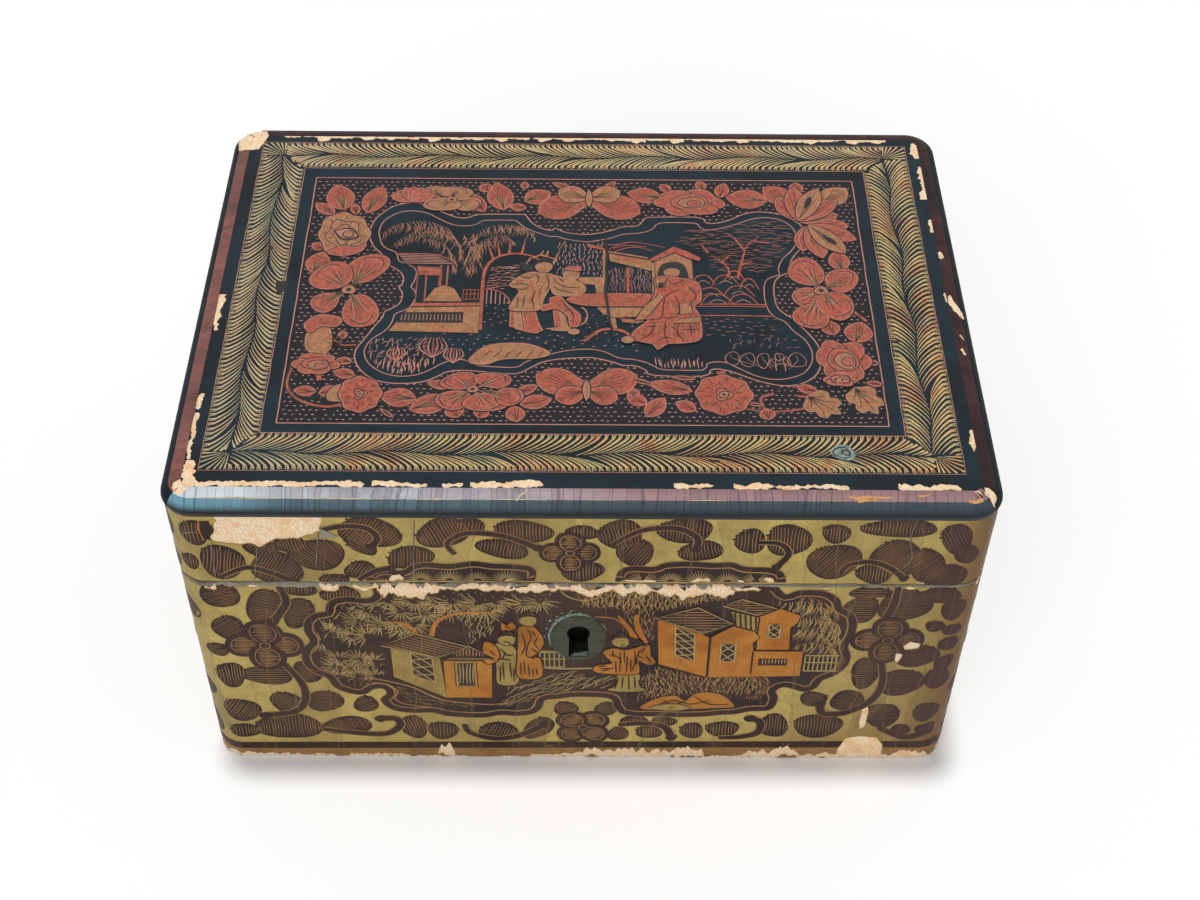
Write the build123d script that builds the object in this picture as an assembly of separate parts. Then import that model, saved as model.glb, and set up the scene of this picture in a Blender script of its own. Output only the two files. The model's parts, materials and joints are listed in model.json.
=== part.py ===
# A lacquered wooden deed box: a mitred case with rounded corners, a hinged lid whose
# flat top is framed by a bead moulding, two butt hinges, and a box lock behind an oval
# brass escutcheon.  Millimetres.  Origin under the middle of the case, +Z up, front at -Y.
from build123d import *
from math import radians, tan
import os

# ---- case and lid ----
length = 240.0            # outside, left to right
depth = 174.0             # outside, front to back
base_height = 91.0        # underside to rim
lid_height = 35.7         # lid's lower edge to its flat top
lid_gap = 0.3             # between rim and closed lid
wall = 10.5               # boards of case and lid
corner_round = 9.0        # upright corners, outside
rim_round = 1.3           # worn arris either side of the joint
foot_round = 0.8          # arris round the underside
joint_gap = 0.1           # between pieces that are glued or let in

# ---- floor and lid top ----
floor_thick = 7.0
floor_rebate = 5.0        # how far the floor runs under the boards
top_thick = 6.1           # lid's top board at its edge, and height of the bead
top_step = 2.0            # deeper middle of the top board, between the rails

# ---- bead moulding round the lid's top ----
bead_inset = 5.6          # from the boards' outer face in to the flat top
bead_proud = 0.5          # past the boards' outer face
bead_crown = 4.2          # height of the upper, rounder part
bead_tuck = 0.75          # fullness of the lower part, as a share of what stands proud

# ---- bamboo pins ----
pin_radius = 1.25
pin_clearance = 0.05
corner_pin_depth = 1.8    # head below the side boards' face
corner_pin_length = 16.0
floor_pin_length = 15.0
top_pin_length = 13.0
top_pin_cover = 1.0       # lacquer ground over each head
long_pin_inset = 34.0     # outer pins of a long side, from its ends
short_pin_inset = 49.0    # pins of a short side, from its ends
low_pin_lift = 24.5       # lower corner pins above the underside
high_pin_drop = 23.5      # upper corner pins below the rim
lid_pin_lift = 14.3       # corner pins above the lid's lower edge

# ---- hinges ----
hinge_inset = 50.0        # middle of each hinge from the case's end
hinge_length = 32.0
pin_inset = 2.2           # hinge axis inside the back face
knuckle_radius = 1.8
hinge_pin_radius = 0.8
running_clearance = 0.05
leaf_thick = 1.2
leaf_edge = 0.8           # from the leaf to the boards' inner face
knuckle_clearance = 0.35
knuckle_gap = 0.3         # between neighbouring knuckles
stop_angle = 50.5         # slope of the bevels that stop the open lid
hinge_screw_pitch = 11.0

# ---- screws ----
screw_head_radius = 1.6
screw_radius = 0.8
screw_cone = 0.8          # depth of the countersunk head
hinge_screw_length = 8.0
lock_screw_length = 7.0
link_screw_length = 9.0

# ---- keyhole and escutcheon ----
lock_x = -1.0             # lock's centre, a hair left of the middle
key_drop = 22.4           # key's axis below the rim
key_bow_radius = 3.6      # round top of the keyhole
key_skirt_top = 2.8       # half width of the skirt under the round top
key_skirt_foot = 3.1      # half width at its foot
key_reach = 11.6          # from the key's axis down to the keyhole's foot
plate_half_width = 8.7    # oval plate
plate_half_height = 11.0
plate_drop = 3.1          # plate's centre below the key's axis
plate_proud = 1.2         # plate in front of the board
plate_bevel = 0.6
collar_wall = 0.9         # tube that lines the keyhole through the board

# ---- box lock ----
lock_plate_width = 50.0
lock_plate_height = 39.0
lock_plate_thick = 1.2
lock_depth = 6.2          # plate's face to the cap's face
selvedge_depth = 6.8      # flange let into the rim
case_width = 38.4
case_foot = 2.0           # case above the plate's lower edge
cap_thick = 0.8
lock_screw_inset = 3.0
lock_screw_low = 5.0
lock_screw_high = 32.0
guide_radius = 0.9
stud_radius = 1.2
stud_inset = 4.0
bolt_thick = 1.3
bolt_throw = 3.8
bolt_foot = 8.4           # bolt's lower edge above the key's axis
bolt_body_height = 6.0
bolt_tail = 16.8          # bolt's tail left of the lock's centre, withdrawn
bolt_nose = 13.5          # bolt's nose right of it
horn_height = 2.4
horn_lift = 2.3           # horn above the bolt's body
horn_length = 4.0
horn_post = 2.2
horn_clear = 0.6          # horn's tip to the staple, withdrawn
talon_width = 5.5
talon_height = 3.2
guide_left = -11.0
guide_right = 9.5
guide_lift = 1.9          # guides above the bolt's lower edge
detent_radius = 0.5
detent_x = -2.2           # spring's tip, left of the lock's centre
spring_thick = 0.45
spring_width = 1.2
spring_rise = 4.6         # spring's crook above its tip
spring_bow = 3.4          # crook left of the tip
spring_lean = 2.6         # anchored end right of the tip
spring_foot = 3.2         # length of the anchored end
spring_bend = 0.8

# ---- link plate in the lid ----
staple_spacing = 18.0
staple_thick = 2.0
staple_width = 3.2
staple_wall = 0.65        # metal either side of the staple's eye
staple_reach = 7.6        # below the lid's lower edge
eye_foot = 1.2            # metal under the eye
eye_height = 3.2
link_plate_width = 38.0
link_plate_thick = 1.2
link_screw_spacing = 30.0
slot_clearance = 0.4
swing_clearance = 0.55    # for the staples' arc as the lid lifts

# ---- worked out from the above ----
lid_foot = base_height + lid_gap
lid_top = lid_foot + lid_height
rail_top = lid_top - top_thick
front_face = -depth / 2
back_face = depth / 2
front_inner = front_face + wall
back_inner = back_face - wall
hinge_y = back_face - pin_inset
hinge_x = length / 2 - hinge_inset
hinge_z = base_height + lid_gap / 2
key_height = base_height - key_drop
cap_face = front_inner - lock_depth


def block(x0, x1, y0, y1, z0, z1):
    """Box between two corners."""
    box = Box(x1 - x0, y1 - y0, z1 - z0, align=(Align.MIN, Align.MIN, Align.MIN))
    return Pos(x0, y0, z0) * box


def rounded_block(size_x, size_y, radius, z0, z1):
    """Upright block with rounded corners, centred on the case."""
    outline = RectangleRounded(size_x, size_y, radius)
    return Pos(0, 0, z0) * extrude(outline, z1 - z0)


def rod(radius, height):
    """Round bar standing on its foot."""
    return Cylinder(radius, height, align=(Align.CENTER, Align.CENTER, Align.MIN))


def x_rod(radius, x0, x1, y, z):
    """Round bar along X."""
    return Pos(x0, y, z) * Rot(0, 90, 0) * rod(radius, x1 - x0)


def whittled_pin(radius, height):
    """Six-sided bamboo pin standing on its foot, or its hole."""
    return extrude(RegularPolygon(radius, 6), height)


def front_prism(face, y0, y1):
    """Outline drawn in X and Z, carried from y0 to y1."""
    return Pos(0, y1, 0) * extrude(Plane.XZ * face, y1 - y0)


def one_piece(shape):
    """The single solid of a cut or joined shape."""
    return max(shape.solids(), key=lambda s: s.volume)


# ---- mitred boards ----
def mitre_wedge(side, z0, z1):
    """Everything on one side of the two mitres that meet at its corners."""
    across, along = (depth, length) if side in ("front", "back") else (length, depth)
    outer_half = along / 2
    inner_half = outer_half - wall
    points = [(-outer_half, -across / 2), (outer_half, -across / 2),
              (inner_half, wall - across / 2), (-inner_half, wall - across / 2)]
    turn = {"front": 0, "right": 90, "back": 180, "left": 270}[side]
    outline = Polyline(*points, close=True)
    wedge = extrude(make_face(outline), z1 - z0)
    return Rot(0, 0, turn) * Pos(0, 0, z0) * wedge


def base_ring():
    """Walls of the case before the mitres are cut."""
    ring = rounded_block(length, depth, corner_round, 0, base_height)
    rim = ring.faces().sort_by(Axis.Z)[-1].edges()
    ring = fillet(rim, rim_round)
    foot = ring.faces().sort_by(Axis.Z)[0].edges()
    ring = fillet(foot, foot_round)
    ring -= Box(length - 2 * wall, depth - 2 * wall, 3 * base_height)
    reach = 2 * (wall - floor_rebate)
    ring -= Pos(0, 0, floor_thick / 2) * Box(length - reach, depth - reach, floor_thick)
    return ring


def lid_ring():
    """Rails of the lid before the mitres are cut."""
    ring = rounded_block(length, depth, corner_round, lid_foot, rail_top)
    foot = ring.faces().sort_by(Axis.Z)[0].edges()
    ring = fillet(foot, rim_round)
    return ring - Box(length - 2 * wall, depth - 2 * wall, 3 * lid_top)


def stop_bevel(lean):
    """Wedge cut off the back edge: the two bevels meet and stop the lid when it is open."""
    rise = (pin_inset + 1) * tan(radians(stop_angle)) * lean
    corner = make_face(Polyline((0, 0), (pin_inset + 1, 0), (pin_inset + 1, rise), close=True))
    prism = extrude(Plane.YZ * corner, length + 2)
    return Pos(-length / 2 - 1, hinge_y, hinge_z) * prism


# ---- pins ----
def corner_pin_places(heights):
    """Starts of the pins that cross the mitres, with the way each one runs."""
    middle = depth / 2 - wall / 2
    start = length / 2 - corner_pin_depth
    return [(sx, sy, sx * start, sy * middle, z) for sx in (-1, 1) for sy in (-1, 1) for z in heights]


def corner_pins(heights, radius):
    pins = []
    for sx, sy, x, y, z in corner_pin_places(heights):
        pins.append(Pos(x, y, z) * Rot(0, -90 * sx, 0) * whittled_pin(radius, corner_pin_length))
    return pins


def edge_places(inset):
    """Pin places round the case, a given way in from the outside."""
    long_row = [(x, sy * (depth / 2 - inset)) for sy in (-1, 1)
                for x in (long_pin_inset - length / 2, 0, length / 2 - long_pin_inset)]
    short_row = [(sx * (length / 2 - inset), y) for sx in (-1, 1)
                 for y in (short_pin_inset - depth / 2, depth / 2 - short_pin_inset)]
    return long_row + short_row


def upright_pins(inset, z0, z1, radius):
    return [Pos(x, y, z0) * whittled_pin(radius, z1 - z0) for x, y in edge_places(inset)]


floor_pin_inset = wall - floor_rebate / 2
top_pin_inset = (wall + bead_inset) / 2
top_pin_head = lid_top - top_pin_cover
base_pin_heights = (low_pin_lift, base_height - high_pin_drop)
lid_pin_heights = (lid_foot + lid_pin_lift,)
wide_pin = pin_radius + pin_clearance


# ---- screws ----
def screw(extra, screw_length):
    """Countersunk screw, head up at the origin, shank down; or its hole, a clearance wider."""
    r_head = screw_head_radius + extra
    r_shank = screw_radius + extra
    taper = screw_length - screw_radius
    profile = Polyline((0, 0), (r_head, 0), (r_shank, -screw_cone), (r_shank, -taper - extra),
                       (0, -screw_length - extra), close=True)
    return revolve(Plane.XZ * make_face(profile), Axis.Z)


def hinge_screw_places():
    y = (back_inner + leaf_edge + hinge_y - knuckle_radius - knuckle_clearance) / 2
    return [(side * hinge_x + step * hinge_screw_pitch, y)
            for side in (-1, 1) for step in (-1, 0, 1)]


def base_hinge_screws(extra=0.0):
    return [Pos(x, y, base_height) * screw(extra, hinge_screw_length)
            for x, y in hinge_screw_places()]


def lid_hinge_screws(extra=0.0):
    return [Pos(x, y, lid_foot) * Rot(180, 0, 0) * screw(extra, hinge_screw_length)
            for x, y in hinge_screw_places()]


def lock_screws(extra=0.0):
    """Screws through the lock's plate into the front board."""
    half = lock_plate_width / 2 - lock_screw_inset
    foot = base_height - lock_plate_height
    return [Pos(lock_x + s * half, front_inner, foot + lift) * Rot(-90, 0, 0)
            * screw(extra, lock_screw_length)
            for s in (-1, 1) for lift in (lock_screw_low, lock_screw_high)]


def link_screws(extra=0.0):
    y = front_inner - selvedge_depth / 2
    return [Pos(lock_x + s * link_screw_spacing / 2, y, lid_foot) * Rot(180, 0, 0)
            * screw(extra, link_screw_length) for s in (-1, 1)]


# ---- hinges ----
def hinge_segments(middle):
    """X ranges of a leaf's knuckles: the middle one, or the two outer ones."""
    third = (hinge_length - 2 * knuckle_gap) / 3
    if middle:
        return [(-third / 2, third / 2)]
    return [(-hinge_length / 2, -hinge_length / 2 + third), (hinge_length / 2 - third, hinge_length / 2)]


def hinge_leaf(z0, z1, middle, screws, centre_x):
    """Leaf let into a board's edge, with its knuckles, bored for the pin."""
    y0 = back_inner + leaf_edge
    y1 = hinge_y - knuckle_radius - knuckle_clearance
    leaf = block(-hinge_length / 2, hinge_length / 2, y0, y1, z0, z1)
    for x0, x1 in hinge_segments(middle):
        leaf += block(x0, x1, y1, hinge_y, z0, z1)
        leaf += x_rod(knuckle_radius, x0, x1, hinge_y, hinge_z)
    bore = hinge_pin_radius + running_clearance
    leaf -= x_rod(bore, -hinge_length, hinge_length, hinge_y, hinge_z)
    leaf = Pos(centre_x, 0, 0) * leaf
    for hole in screws:
        leaf -= hole
    return leaf


def hinge_recess(z0, z1):
    """Pocket for a leaf and groove for the knuckles, for both hinges."""
    half = hinge_length / 2 + joint_gap
    y0 = back_inner + leaf_edge - joint_gap
    recess = []
    for side in (-1, 1):
        x = side * hinge_x
        recess.append(block(x - half, x + half, y0, hinge_y, z0, z1))
        recess.append(x_rod(knuckle_radius + knuckle_clearance, x - half - knuckle_gap,
                            x + half + knuckle_gap, hinge_y, hinge_z))
    return recess


def hinge_pin(side):
    """Pin through all the knuckles, a little past them at both ends."""
    half = hinge_length / 2 + knuckle_gap
    return x_rod(hinge_pin_radius, side * hinge_x - half, side * hinge_x + half, hinge_y, hinge_z)


# ---- keyhole and escutcheon ----
def keyhole(grow=0.0):
    """Keyhole outline in X and Z: a round top over a skirt that widens to its foot."""
    foot = -key_reach - grow
    bow = Circle(key_bow_radius + grow)
    skirt = make_face(Polyline((-key_skirt_top - grow, 0), (key_skirt_top + grow, 0),
                               (key_skirt_foot + grow, foot), (-key_skirt_foot - grow, foot), close=True))
    return Pos(lock_x, key_height) * (bow + skirt)


def keyhole_escutcheon():
    oval = Pos(lock_x, key_height - plate_drop) * Ellipse(plate_half_width, plate_half_height)
    plate = front_prism(oval, front_face - plate_proud, front_face)
    rim = plate.faces().sort_by(Axis.Y)[0].edges()
    plate = chamfer(rim, plate_bevel)
    collar = front_prism(keyhole(collar_wall), front_face, cap_face - joint_gap)
    return plate + collar - front_prism(keyhole(), front_face - 2 * plate_proud, front_inner)


# ---- box lock ----
lock_foot = base_height - lock_plate_height
case_top = base_height - lock_plate_thick
plate_front = front_inner - lock_plate_thick
bolt_y = (cap_face + cap_thick + plate_front) / 2
bolt_z = key_height + bolt_foot
guide_z = bolt_z + guide_lift
eye_z = lid_foot - staple_reach + eye_foot
horn_z = bolt_z + bolt_body_height + horn_lift


def staple_slots():
    """Openings in the selvedge for the staples, long enough for their swing."""
    half_x = staple_thick / 2 + slot_clearance
    half_y = staple_width / 2 + swing_clearance
    z0 = case_top - 1
    return [block(lock_x + s * staple_spacing / 2 - half_x, lock_x + s * staple_spacing / 2 + half_x,
                  bolt_y - half_y, bolt_y + half_y, z0, base_height + 1) for s in (-1, 1)]


def lock_plate():
    """Back plate flush with the inside, and the selvedge flush with the rim."""
    half = lock_plate_width / 2
    plate = block(lock_x - half, lock_x + half, plate_front, front_inner, lock_foot, base_height)
    plate += block(lock_x - half, lock_x + half, front_inner - selvedge_depth, front_inner,
                   case_top, base_height)
    for cut in staple_slots() + lock_screws(pin_clearance):
        plate -= cut
    for stud in lock_studs(pin_clearance):
        plate -= stud
    return plate


def lock_cap():
    """Cover of the works: a shallow tray, open at the top, with its own keyhole."""
    half = case_width / 2
    foot = lock_foot + case_foot
    head = case_top - joint_gap
    back = plate_front - joint_gap
    cap = block(lock_x - half, lock_x + half, cap_face, back, foot, head)
    cap -= block(lock_x - half + cap_thick, lock_x + half - cap_thick, cap_face + cap_thick, back + 1,
                 foot + cap_thick, head + 1)
    cap -= front_prism(keyhole(joint_gap), cap_face - 1, plate_front)
    for stud in lock_studs(pin_clearance):
        cap -= stud
    return cap


def lock_studs(extra=0.0):
    """Two studs that guide the bolt and two that hold the cap down, riveted through the plate."""
    low_x = case_width / 2 - stud_inset
    low_z = lock_foot + case_foot + stud_inset
    places = [(guide_left, guide_z, guide_radius), (guide_right, guide_z, guide_radius),
              (-low_x, low_z, stud_radius), (low_x, low_z, stud_radius)]
    return [Pos(lock_x + x, front_inner, z) * Rot(90, 0, 0) * rod(radius + extra, lock_depth)
            for x, z, radius in places]


def lock_bolt():
    """Sliding bolt: slotted body, talon for the key, and a horn for each staple."""
    top = bolt_z + bolt_body_height
    horn_top = horn_z + horn_height
    outline = Pos((bolt_nose - bolt_tail) / 2, (bolt_z + top) / 2) * Rectangle(
        bolt_nose + bolt_tail, bolt_body_height)
    for s in (-1, 1):
        tip = s * staple_spacing / 2 - staple_thick / 2 - horn_clear
        root = tip - horn_length
        post = Pos(root - horn_post / 2, (top + horn_top) / 2) * Rectangle(horn_post, horn_top - top)
        arm = Pos((root + tip) / 2, horn_z + horn_height / 2) * Rectangle(tip - root, horn_height)
        outline += post + arm
    slot_height = 2 * (guide_radius + pin_clearance)
    for x in (guide_left, guide_right):
        slot = Rectangle(bolt_throw, slot_height) + Pos(-bolt_throw / 2, 0) * Circle(slot_height / 2)
        slot += Pos(bolt_throw / 2, 0) * Circle(slot_height / 2)
        outline -= Pos(x - bolt_throw / 2, guide_z) * slot
    talon_x = -bolt_throw / 2
    outline -= Pos(talon_x, bolt_z + talon_height / 2) * Rectangle(talon_width, talon_height)
    for x in (detent_x, detent_x - bolt_throw):
        outline -= Pos(x, top) * Circle(detent_radius)
    bolt = front_prism(Pos(lock_x, 0) * outline, bolt_y - bolt_thick / 2, bolt_y + bolt_thick / 2)
    return bolt


def lock_spring():
    """Bent flat spring that keeps the bolt thrown or withdrawn, its foot in one of two notches."""
    tip = bolt_z + bolt_body_height + spring_thick / 2 + joint_gap
    anchor = case_top - spring_thick / 2 - joint_gap
    end_x = detent_x + spring_lean
    route = FilletPolyline((detent_x, tip), (detent_x - spring_bow, tip + spring_rise), (end_x, anchor),
                           radius=spring_bend)
    foot = Line((end_x, anchor), (end_x - spring_foot, anchor))
    strip = trace(route, spring_thick) + trace(foot, spring_thick)
    return front_prism(Pos(lock_x, 0) * strip, bolt_y - spring_width / 2, bolt_y + spring_width / 2)


def lock_mortise():
    """Room for the lock in the front board: shallow for the plate, deep for the cap."""
    plate_half = lock_plate_width / 2 + joint_gap
    case_half = case_width / 2 + joint_gap
    foot = lock_foot + case_foot - joint_gap
    return [block(lock_x - plate_half, lock_x + plate_half, plate_front - joint_gap, front_inner + 1,
                  lock_foot - joint_gap, base_height + 1),
            block(lock_x - plate_half, lock_x + plate_half, front_inner - selvedge_depth - joint_gap,
                  front_inner + 1, case_top - joint_gap, base_height + 1),
            block(lock_x - case_half, lock_x + case_half, cap_face - joint_gap, front_inner + 1,
                  foot, base_height + 1)]


# ---- link plate ----
def link_plate():
    """Plate in the lid's front rail with two eyed staples that drop into the lock."""
    half = link_plate_width / 2
    y0 = front_inner - selvedge_depth
    plate = block(lock_x - half, lock_x + half, y0, front_inner - leaf_edge,
                  lid_foot, lid_foot + link_plate_thick)
    for s in (-1, 1):
        x = lock_x + s * staple_spacing / 2
        x0, x1 = x - staple_thick / 2, x + staple_thick / 2
        half_y = staple_width / 2
        half_eye = half_y - staple_wall
        plate += block(x0, x1, bolt_y - half_y, bolt_y + half_y, lid_foot - staple_reach, lid_foot)
        plate -= block(x0 - 1, x1 + 1, bolt_y - half_eye, bolt_y + half_eye, eye_z, eye_z + eye_height)
    for hole in link_screws(pin_clearance):
        plate -= hole
    return plate


def link_recess():
    half = link_plate_width / 2 + joint_gap
    return block(lock_x - half, lock_x + half, front_inner - selvedge_depth - joint_gap,
                 front_inner - leaf_edge + joint_gap, lid_foot - 1, lid_foot + link_plate_thick + joint_gap)


# ---- bead moulding ----
def bead_section():
    """Cross-section: X outwards from the boards' face, Y up from the rails' top."""
    inner = joint_gap / 2 - bead_inset
    belly = top_thick - bead_crown
    crown = EllipticalCenterArc((inner, belly), bead_proud - inner, bead_crown, start_angle=0, arc_size=90)
    under = ThreePointArc((0, 0), (bead_tuck * bead_proud, belly / 2), (bead_proud, belly))
    back = Line((inner, top_thick), (inner, 0))
    foot = Line((inner, 0), (0, 0))
    return make_face(Curve() + [crown, under, back, foot])


def bead(side):
    """One moulding: a straight run and half a turn at each end, so that it ends on the mitres."""
    along, across = (length, depth) if side in ("front", "back") else (depth, length)
    run = along - 2 * corner_round
    face = bead_section()
    start = Plane((run / 2, -across / 2, rail_top), x_dir=(0, -1, 0), z_dir=(-1, 0, 0))
    piece = extrude(start * face, run)
    for s in (-1, 1):
        centre = (s * run / 2, corner_round - across / 2, rail_top)
        turned = Plane(centre, x_dir=(0, -1, 0), z_dir=(-1, 0, 0)) * Pos(corner_round, 0) * face
        piece += revolve(turned, Axis(centre, (0, 0, 1)), revolution_arc=s * 45)
    turn = {"front": 0, "right": 90, "back": 180, "left": 270}[side]
    return Rot(0, 0, turn) * piece


# ---- pieces ----
def base_board(side):
    board = base_ring() & mitre_wedge(side, 0, base_height)
    cuts = corner_pins(base_pin_heights, wide_pin)
    cuts += upright_pins(floor_pin_inset, 0, floor_pin_length + pin_clearance, wide_pin)
    if side == "back":
        cuts += hinge_recess(base_height - leaf_thick - joint_gap, base_height + 1)
        cuts += base_hinge_screws(pin_clearance)
    if side == "front":
        cuts += lock_mortise() + lock_screws(pin_clearance)
        cuts.append(front_prism(keyhole(collar_wall + joint_gap), front_face - 1, front_inner))
    else:
        cuts.append(stop_bevel(-1))
    for cut in cuts:
        board -= cut
    return one_piece(board)


def lid_rail(side):
    rail = lid_ring() & mitre_wedge(side, lid_foot, rail_top)
    cuts = corner_pins(lid_pin_heights, wide_pin)
    cuts += upright_pins(top_pin_inset, top_pin_head - top_pin_length - pin_clearance, lid_top, wide_pin)
    if side == "front":
        cuts += [link_recess()] + link_screws(pin_clearance)
    else:
        cuts.append(stop_bevel(1))
    if side == "back":
        cuts += hinge_recess(lid_foot - 1, lid_foot + leaf_thick + joint_gap)
        cuts += lid_hinge_screws(pin_clearance)
    for cut in cuts:
        rail -= cut
    return one_piece(rail)


def base_floor():
    reach = 2 * (wall - floor_rebate + joint_gap)
    board = block(reach / 2 - length / 2, length / 2 - reach / 2, reach / 2 - depth / 2,
                  depth / 2 - reach / 2, 0, floor_thick - joint_gap)
    for hole in upright_pins(floor_pin_inset, -1, floor_thick + 1, wide_pin):
        board -= hole
    return board


def lid_top_board():
    edge = 2 * (bead_inset + joint_gap / 2)
    step = 2 * (wall + joint_gap)
    board = rounded_block(length - edge, depth - edge, corner_round - edge / 2, rail_top, lid_top)
    board += Pos(0, 0, rail_top - top_step / 2) * Box(length - step, depth - step, top_step)
    for hole in upright_pins(top_pin_inset, rail_top - 1, top_pin_head, wide_pin):
        board -= hole
    return board


sides = ("front", "back", "left", "right")
pieces = {}
for side in sides:
    pieces[f"base_{side}_board"] = base_board(side)
    pieces[f"lid_{side}_rail"] = lid_rail(side)
    pieces[f"lid_{side}_bead"] = bead(side)
pieces["base_floor"] = base_floor()
pieces["lid_top_board"] = lid_top_board()
pieces["base_corner_pins"] = corner_pins(base_pin_heights, pin_radius)
pieces["base_floor_pins"] = upright_pins(floor_pin_inset, 0, floor_pin_length, pin_radius)
pieces["lid_corner_pins"] = corner_pins(lid_pin_heights, pin_radius)
pieces["lid_top_pins"] = upright_pins(top_pin_inset, top_pin_head - top_pin_length,
                                      top_pin_head - pin_clearance, pin_radius)
for name, hand in (("left", -1), ("right", 1)):
    centre_x = hand * hinge_x
    pieces[f"{name}_hinge_base_leaf"] = hinge_leaf(base_height - leaf_thick, base_height, False,
                                                   base_hinge_screws(pin_clearance), centre_x)
    pieces[f"{name}_hinge_lid_leaf"] = hinge_leaf(lid_foot, lid_foot + leaf_thick, True,
                                                  lid_hinge_screws(pin_clearance), centre_x)
    pieces[f"{name}_hinge_pin"] = hinge_pin(hand)
pieces["base_hinge_screws"] = base_hinge_screws()
pieces["lid_hinge_screws"] = lid_hinge_screws()
pieces["keyhole_escutcheon"] = keyhole_escutcheon()
pieces["lock_plate"] = lock_plate()
pieces["lock_cap"] = lock_cap()
pieces["lock_studs"] = lock_studs()
pieces["lock_bolt"] = lock_bolt()
pieces["lock_spring"] = lock_spring()
pieces["lock_screws"] = lock_screws()
pieces["link_plate"] = link_plate()
pieces["link_screws"] = link_screws()

os.makedirs("parts", exist_ok=True)
for name, piece in pieces.items():
    solids = piece if isinstance(piece, list) else piece.solids()
    shape = Compound(children=[s for item in solids for s in item.solids()])
    shape.label = name
    export_step(shape, f"parts/{name}.step")
print(len(pieces), "pieces written")
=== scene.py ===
import bpy, bmesh, json, random
from math import atan2, copysign, cos, degrees, dist, hypot, pi, radians, sin, tau
from mathutils import Matrix, Vector
from mathutils.geometry import delaunay_2d_cdt

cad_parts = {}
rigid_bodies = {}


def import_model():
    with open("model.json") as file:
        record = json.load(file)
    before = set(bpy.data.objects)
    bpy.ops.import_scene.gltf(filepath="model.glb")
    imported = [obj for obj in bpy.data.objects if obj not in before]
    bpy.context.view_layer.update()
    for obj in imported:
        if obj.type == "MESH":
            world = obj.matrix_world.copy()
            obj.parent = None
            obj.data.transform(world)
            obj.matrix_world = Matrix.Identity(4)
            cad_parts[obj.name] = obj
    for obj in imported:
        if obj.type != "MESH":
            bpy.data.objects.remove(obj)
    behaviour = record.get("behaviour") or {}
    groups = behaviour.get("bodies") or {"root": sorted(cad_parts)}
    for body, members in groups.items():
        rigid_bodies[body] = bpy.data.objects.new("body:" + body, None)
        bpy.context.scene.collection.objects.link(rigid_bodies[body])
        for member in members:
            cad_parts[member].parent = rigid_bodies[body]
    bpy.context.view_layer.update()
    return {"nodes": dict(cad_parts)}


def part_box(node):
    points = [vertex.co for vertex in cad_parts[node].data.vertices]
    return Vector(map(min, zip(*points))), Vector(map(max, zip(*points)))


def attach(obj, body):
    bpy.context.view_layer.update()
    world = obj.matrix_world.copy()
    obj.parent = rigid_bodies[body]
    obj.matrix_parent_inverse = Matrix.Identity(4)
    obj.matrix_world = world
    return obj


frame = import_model()
nodes = frame["nodes"]
print("frame loaded:", len(nodes), "nodes")

mm = 0.001
scene = bpy.context.scene
addObject = scene.collection.objects.link


def uv(*numbers):
    # points from numbers in a row: across, up, across, up and so on
    return list(zip(numbers[::2], numbers[1::2]))


def reach(node, end, axis):
    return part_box(node)[end][axis] / mm


def plot(u0, u1, v0, v1):
    return uv(u0, v0, u1, v0, u1, v1, u0, v1)


# the case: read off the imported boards, with the joiner's roundings
case = {
    "halfLength": -reach("base_left_board", 0, 0),
    "halfDepth": -reach("base_front_board", 0, 1),
    "baseTop": reach("base_left_board", 1, 2),
    "lidFoot": reach("lid_left_rail", 0, 2),
    "railTop": reach("lid_front_bead", 0, 2),
    "lidTop": reach("lid_top_board", 1, 2),
    "cornerRound": 9,
    "rimRound": 1.3,
    "footRound": 0.8,
    "hingeLine": 91.15,       # height of the hinge axis
    "groove": 3.3,            # how far the stop bevels reach above and below it
}
# heights over the bare boards, coat by coat
coat = {"gesso": 0.04, "skin": 0.3, "paint": 0.33, "figure": 0.36, "top": 0.45}
unevenness = 0.012  # each stroke lies this much over or under the next


# colour
def linear(text):
    parts = [int(text[i:i + 2], 16) / 255 for i in (1, 3, 5)]
    return [p / 12.92 if p <= 0.04045 else ((p + 0.055) / 1.055) ** 2.4 for p in parts] + [1]


def addNode(tree, kind, settings=(), links=()):
    made = tree.nodes.new("ShaderNode" + kind)
    for key, value in dict(settings).items():
        if isinstance(key, str) and hasattr(made, key):
            setattr(made, key, value)
        else:
            made.inputs[key].default_value = value
    for key, socket in dict(links).items():
        tree.links.new(socket, made.inputs[key])
    return made


def startMaterial(name, roughness, metallic, specular=0.5):
    material = bpy.data.materials.new(name)
    material.use_nodes = True
    tree = material.node_tree
    shader = tree.nodes["Principled BSDF"]
    for socket, value in (("Roughness", roughness), ("Metallic", metallic), ("Specular IOR Level", specular)):
        shader.inputs[socket].default_value = value
    return material, tree, addNode(tree, "TexCoord").outputs["Object"]


def spreadColours(tree, factor, colours):
    # the colours in turn, low values first
    ramp = addNode(tree, "ValToRGB", {}, {"Fac": factor})
    stops, colours = ramp.color_ramp.elements, colours.split()
    while len(stops) < len(colours):
        stops.new(0.5)
    for i, colour in enumerate(colours):
        stops[i].position = 0.3 + 0.4 * i / (len(colours) - 1)
        stops[i].color = linear(colour)
    return ramp.outputs["Color"]


def complete(material, colour, height, strength, depth, gloss):
    tree = material.node_tree
    shader = tree.nodes["Principled BSDF"]
    bump = addNode(tree, "Bump", {"Strength": strength, "Distance": depth}, {"Height": height})
    tree.links.new(colour, shader.inputs["Base Color"])
    tree.links.new(bump.outputs["Normal"], shader.inputs["Normal"])
    if gloss:
        tree.links.new(gloss.outputs["Result"], shader.inputs["Roughness"])
    return material


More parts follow.
